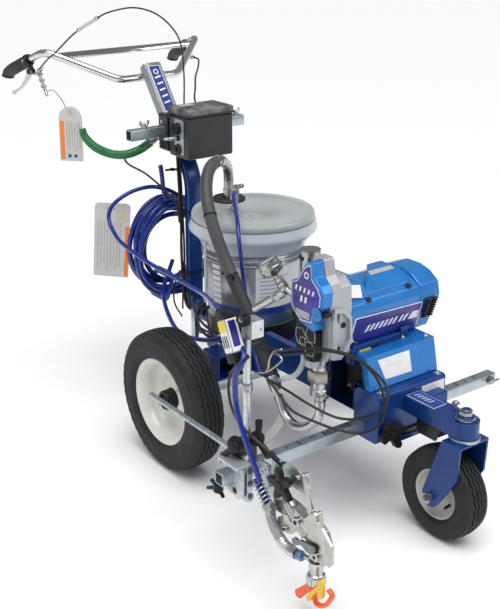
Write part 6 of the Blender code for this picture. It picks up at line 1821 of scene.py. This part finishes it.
    nozzle = Vector((0.800, -0.490, 0))
    ring = Shape().turned([(0.006, 0.100), (0.0190, 0.100), (0.0215, 0.103), (0.0215, 0.122), (0.0190, 0.127),
                           (0.0155, 0.129), (0.0155, 0.140),
                           (0.0175, 0.143), (0.0175, 0.160), (0.006, 0.160)], nozzle, Z, 28)
    for k in range(10):
        a = math.tau * k / 10
        ring.rod(nozzle + Vector((0.0210 * math.cos(a), 0.0210 * math.sin(a), 0.104)),
                 nozzle + Vector((0.0210 * math.cos(a), 0.0210 * math.sin(a), 0.121)), 0.0026, 8)
    ring.piece("tip_nut", ALUMINIUM, "gun_arm")

    build_tip_guard(nozzle)
    coil = []
    start, end = Vector((0.628, -0.526, 0.294)), Vector((0.658, -0.518, 0.243))
    axis = (end - start).normalized()
    side, other = Y.cross(axis).normalized(), axis.cross(Y.cross(axis).normalized())
    for k in range(6 * 12 + 1):
        a = math.tau * k / 12
        coil.append(start.lerp(end, k / 72) + (side * math.cos(a) + other * math.sin(a)) * 0.0118)
    Shape().tube(coil, 0.0020, 7).piece("hose_spring_guard", STEEL, "gun_arm")
    Shape().tube([start - axis * 0.006, end], 0.0082, 16).piece("hose_in_spring", BLUE_HOSE, "gun_arm")
    nuts = Shape().turned([(0.004, 0), (0.0140, 0), (0.0155, 0.002), (0.0155, 0.014), (0.0140, 0.016),
                           (0.004, 0.016)], end - axis * 0.004, axis, 6)
    nuts.rod(end + axis * 0.010, end + axis * 0.022, 0.0115, 18)
    nuts.piece("hose_fitting_upper", STEEL, "gun_arm", bevel=0.0008)
    braid = curve([end + axis * 0.016, (0.662, -0.511, 0.210), (0.668, -0.508, 0.190), (0.682, -0.506, 0.173),
                   (0.702, -0.505, 0.159),
                   (0.724, -0.504, 0.153), (0.747, -0.503, 0.154)], 6)
    Shape().tube(braid, 0.0122, 24).piece("braided_hose", BRAID, "gun_arm", smooth=60)
    lower = Shape().tube(braid[-16:], 0.0130, 24)
    lower.piece("hose_crimp", ALUMINIUM, "gun_arm")
    Shape().turned([(0.004, 0), (0.0115, 0), (0.0125, 0.002), (0.0125, 0.014), (0.0115, 0.016),
                    (0.004, 0.016)], braid[-1] + Vector((0.004, 0, 0.001)),
                   Vector((0.95, 0.1, 0.12)), 6).piece("hose_fitting_lower", BLUE_NUT, "gun_arm",
                                                       bevel=0.0006)
    Shape().rod(braid[-1], nozzle + Vector((-0.012, 0, 0.156)), 0.0062, 14).piece("hose_nipple", STEEL,
        "gun_arm")


def build_tip_guard(nozzle):
    base = 0.099
    guard = Shape().turned([(0.009, base), (0.0185, base), (0.0200, base - 0.003), (0.0200, base - 0.014),
                            (0.0170, base - 0.019), (0.009, base - 0.019)],
                           nozzle, Z, 28)
    left = nozzle + Vector((-0.014, -0.004, base - 0.010))
    guard.tube([left, left + Vector((-0.014, -0.002, -0.018)), left + Vector((-0.036, -0.004, -0.042))],
               lambda t: 0.0085 + 0.0035 * t, 14, flat=0.75, side=Y)
    ring = [(0.806, -0.494, 0.092), (0.803, -0.494, 0.066), (0.808, -0.494, 0.054), (0.824, -0.494, 0.056),
            (0.842, -0.494, 0.070), (0.856, -0.494, 0.092),
            (0.860, -0.494, 0.106), (0.848, -0.494, 0.113)]
    guard.tube(curve(ring, 5), 0.0056, 12, flat=1.2, side=Y)
    made = guard.piece("tip_guard_moulding", ORANGE, "gun_arm", smooth=50)
    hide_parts("tip_guard")
    handle = Shape().rod(pivot("spray_tip_turn") - Y * 0.024, pivot("spray_tip_turn") + Y * 0.024, 0.0064, 16)
    handle.prism(rounded([(0.8295, 0.134), (0.846, 0.140), (0.8465, 0.098), (0.840, 0.088), (0.830, 0.090)],
                         0.004, 3), "y", -0.512, -0.502)
    handle.tube([pivot("spray_tip_turn") - Y * 0.022, Vector((0.814, -0.508, 0.094)),
                 Vector((0.833, -0.507, 0.118))], 0.0056, 12)
    made = handle.piece("tip_handle", YELLOW, "spray_tip", bevel=0.0015)
    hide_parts("spray_tip")


# ---------------------------------------------------------------- stage
def build_stage():
    reach = 60.0
    floor = Shape().plate([(-reach, -reach), (reach, -reach), (reach, reach), (-reach, reach)],
                          (0, 0, -0.0015), X, Y,
                          0.001)
    floor = floor.piece("floor", surface("pale_floor", (0.93, 0.93, 0.93), 0.0, 0.75, vary=0.005), "chassis",
                        ride=False)
    world = bpy.data.worlds.new("studio")
    world.use_nodes = True
    world.node_tree.nodes["Background"].inputs["Color"].default_value = (1, 1, 1, 1)
    world.node_tree.nodes["Background"].inputs["Strength"].default_value = 0.30
    bpy.context.scene.world = world
    sky = bpy.data.lights.new("overhead", "SUN")
    sky.energy, sky.angle = 2.55, math.radians(50)
    lamp = bpy.data.objects.new("overhead", sky)
    bpy.context.scene.collection.objects.link(lamp)
    lamp.rotation_mode = "QUATERNION"
    lamp.rotation_quaternion = Vector((-0.22, 0.16, -1)).to_track_quat("-Z", "Y")
    for name, place, power, size in (("key", (2.6, 1.6, 2.8), 30, 1.8), ("fill", (0.4, -3.6, 2.0), 16, 2.4)):
        light = bpy.data.lights.new(name, "AREA")
        light.energy, light.size = power, size
        lamp = bpy.data.objects.new(name, light)
        bpy.context.scene.collection.objects.link(lamp)
        lamp.location = place
        lamp.rotation_mode = "QUATERNION"
        lamp.rotation_quaternion = (Vector((0.1, 0, 0.5)) - Vector(place)).to_track_quat("-Z", "Y")


def build_camera():
    """The view from the front right, slightly above, with a small roll."""
    azimuth, elevation, roll = 0.9161, 0.3670, 0.0054
    back = Vector((math.sin(azimuth) * math.cos(elevation), -math.cos(azimuth) * math.cos(elevation),
                   math.sin(elevation)))
    right = Vector((math.cos(azimuth), math.sin(azimuth), 0))
    up = back.cross(right)
    rolled_right = right * math.cos(roll) + up * math.sin(roll)
    rolled_up = up * math.cos(roll) - right * math.sin(roll)
    data = bpy.data.cameras.new("camera")
    data.lens, data.sensor_width = 64.17, 36
    data.shift_x, data.shift_y = -0.02356, -0.01264
    camera = bpy.data.objects.new("camera", data)
    bpy.context.scene.collection.objects.link(camera)
    rows = Matrix((rolled_right, rolled_up, back)).transposed().to_4x4()
    camera.matrix_world = Matrix.Translation(Vector((2.3454, -1.8261, 1.5711))) @ rows
    bpy.context.scene.camera = camera
    bpy.context.scene.view_settings.view_transform = "Standard"


build_rear_wheels()
build_caster()
build_frame()
build_front()
build_knobs()
build_mast()
build_control_box()
build_handle()
build_handle_cables()
build_tags()
build_hose_coil()
build_lower_hoses()
front_cable_loops()
build_pail()
build_shroud()
build_housing()
build_pump()
build_bar()
build_pointer()
build_carriage()
build_gun()
build_stage()
build_camera()
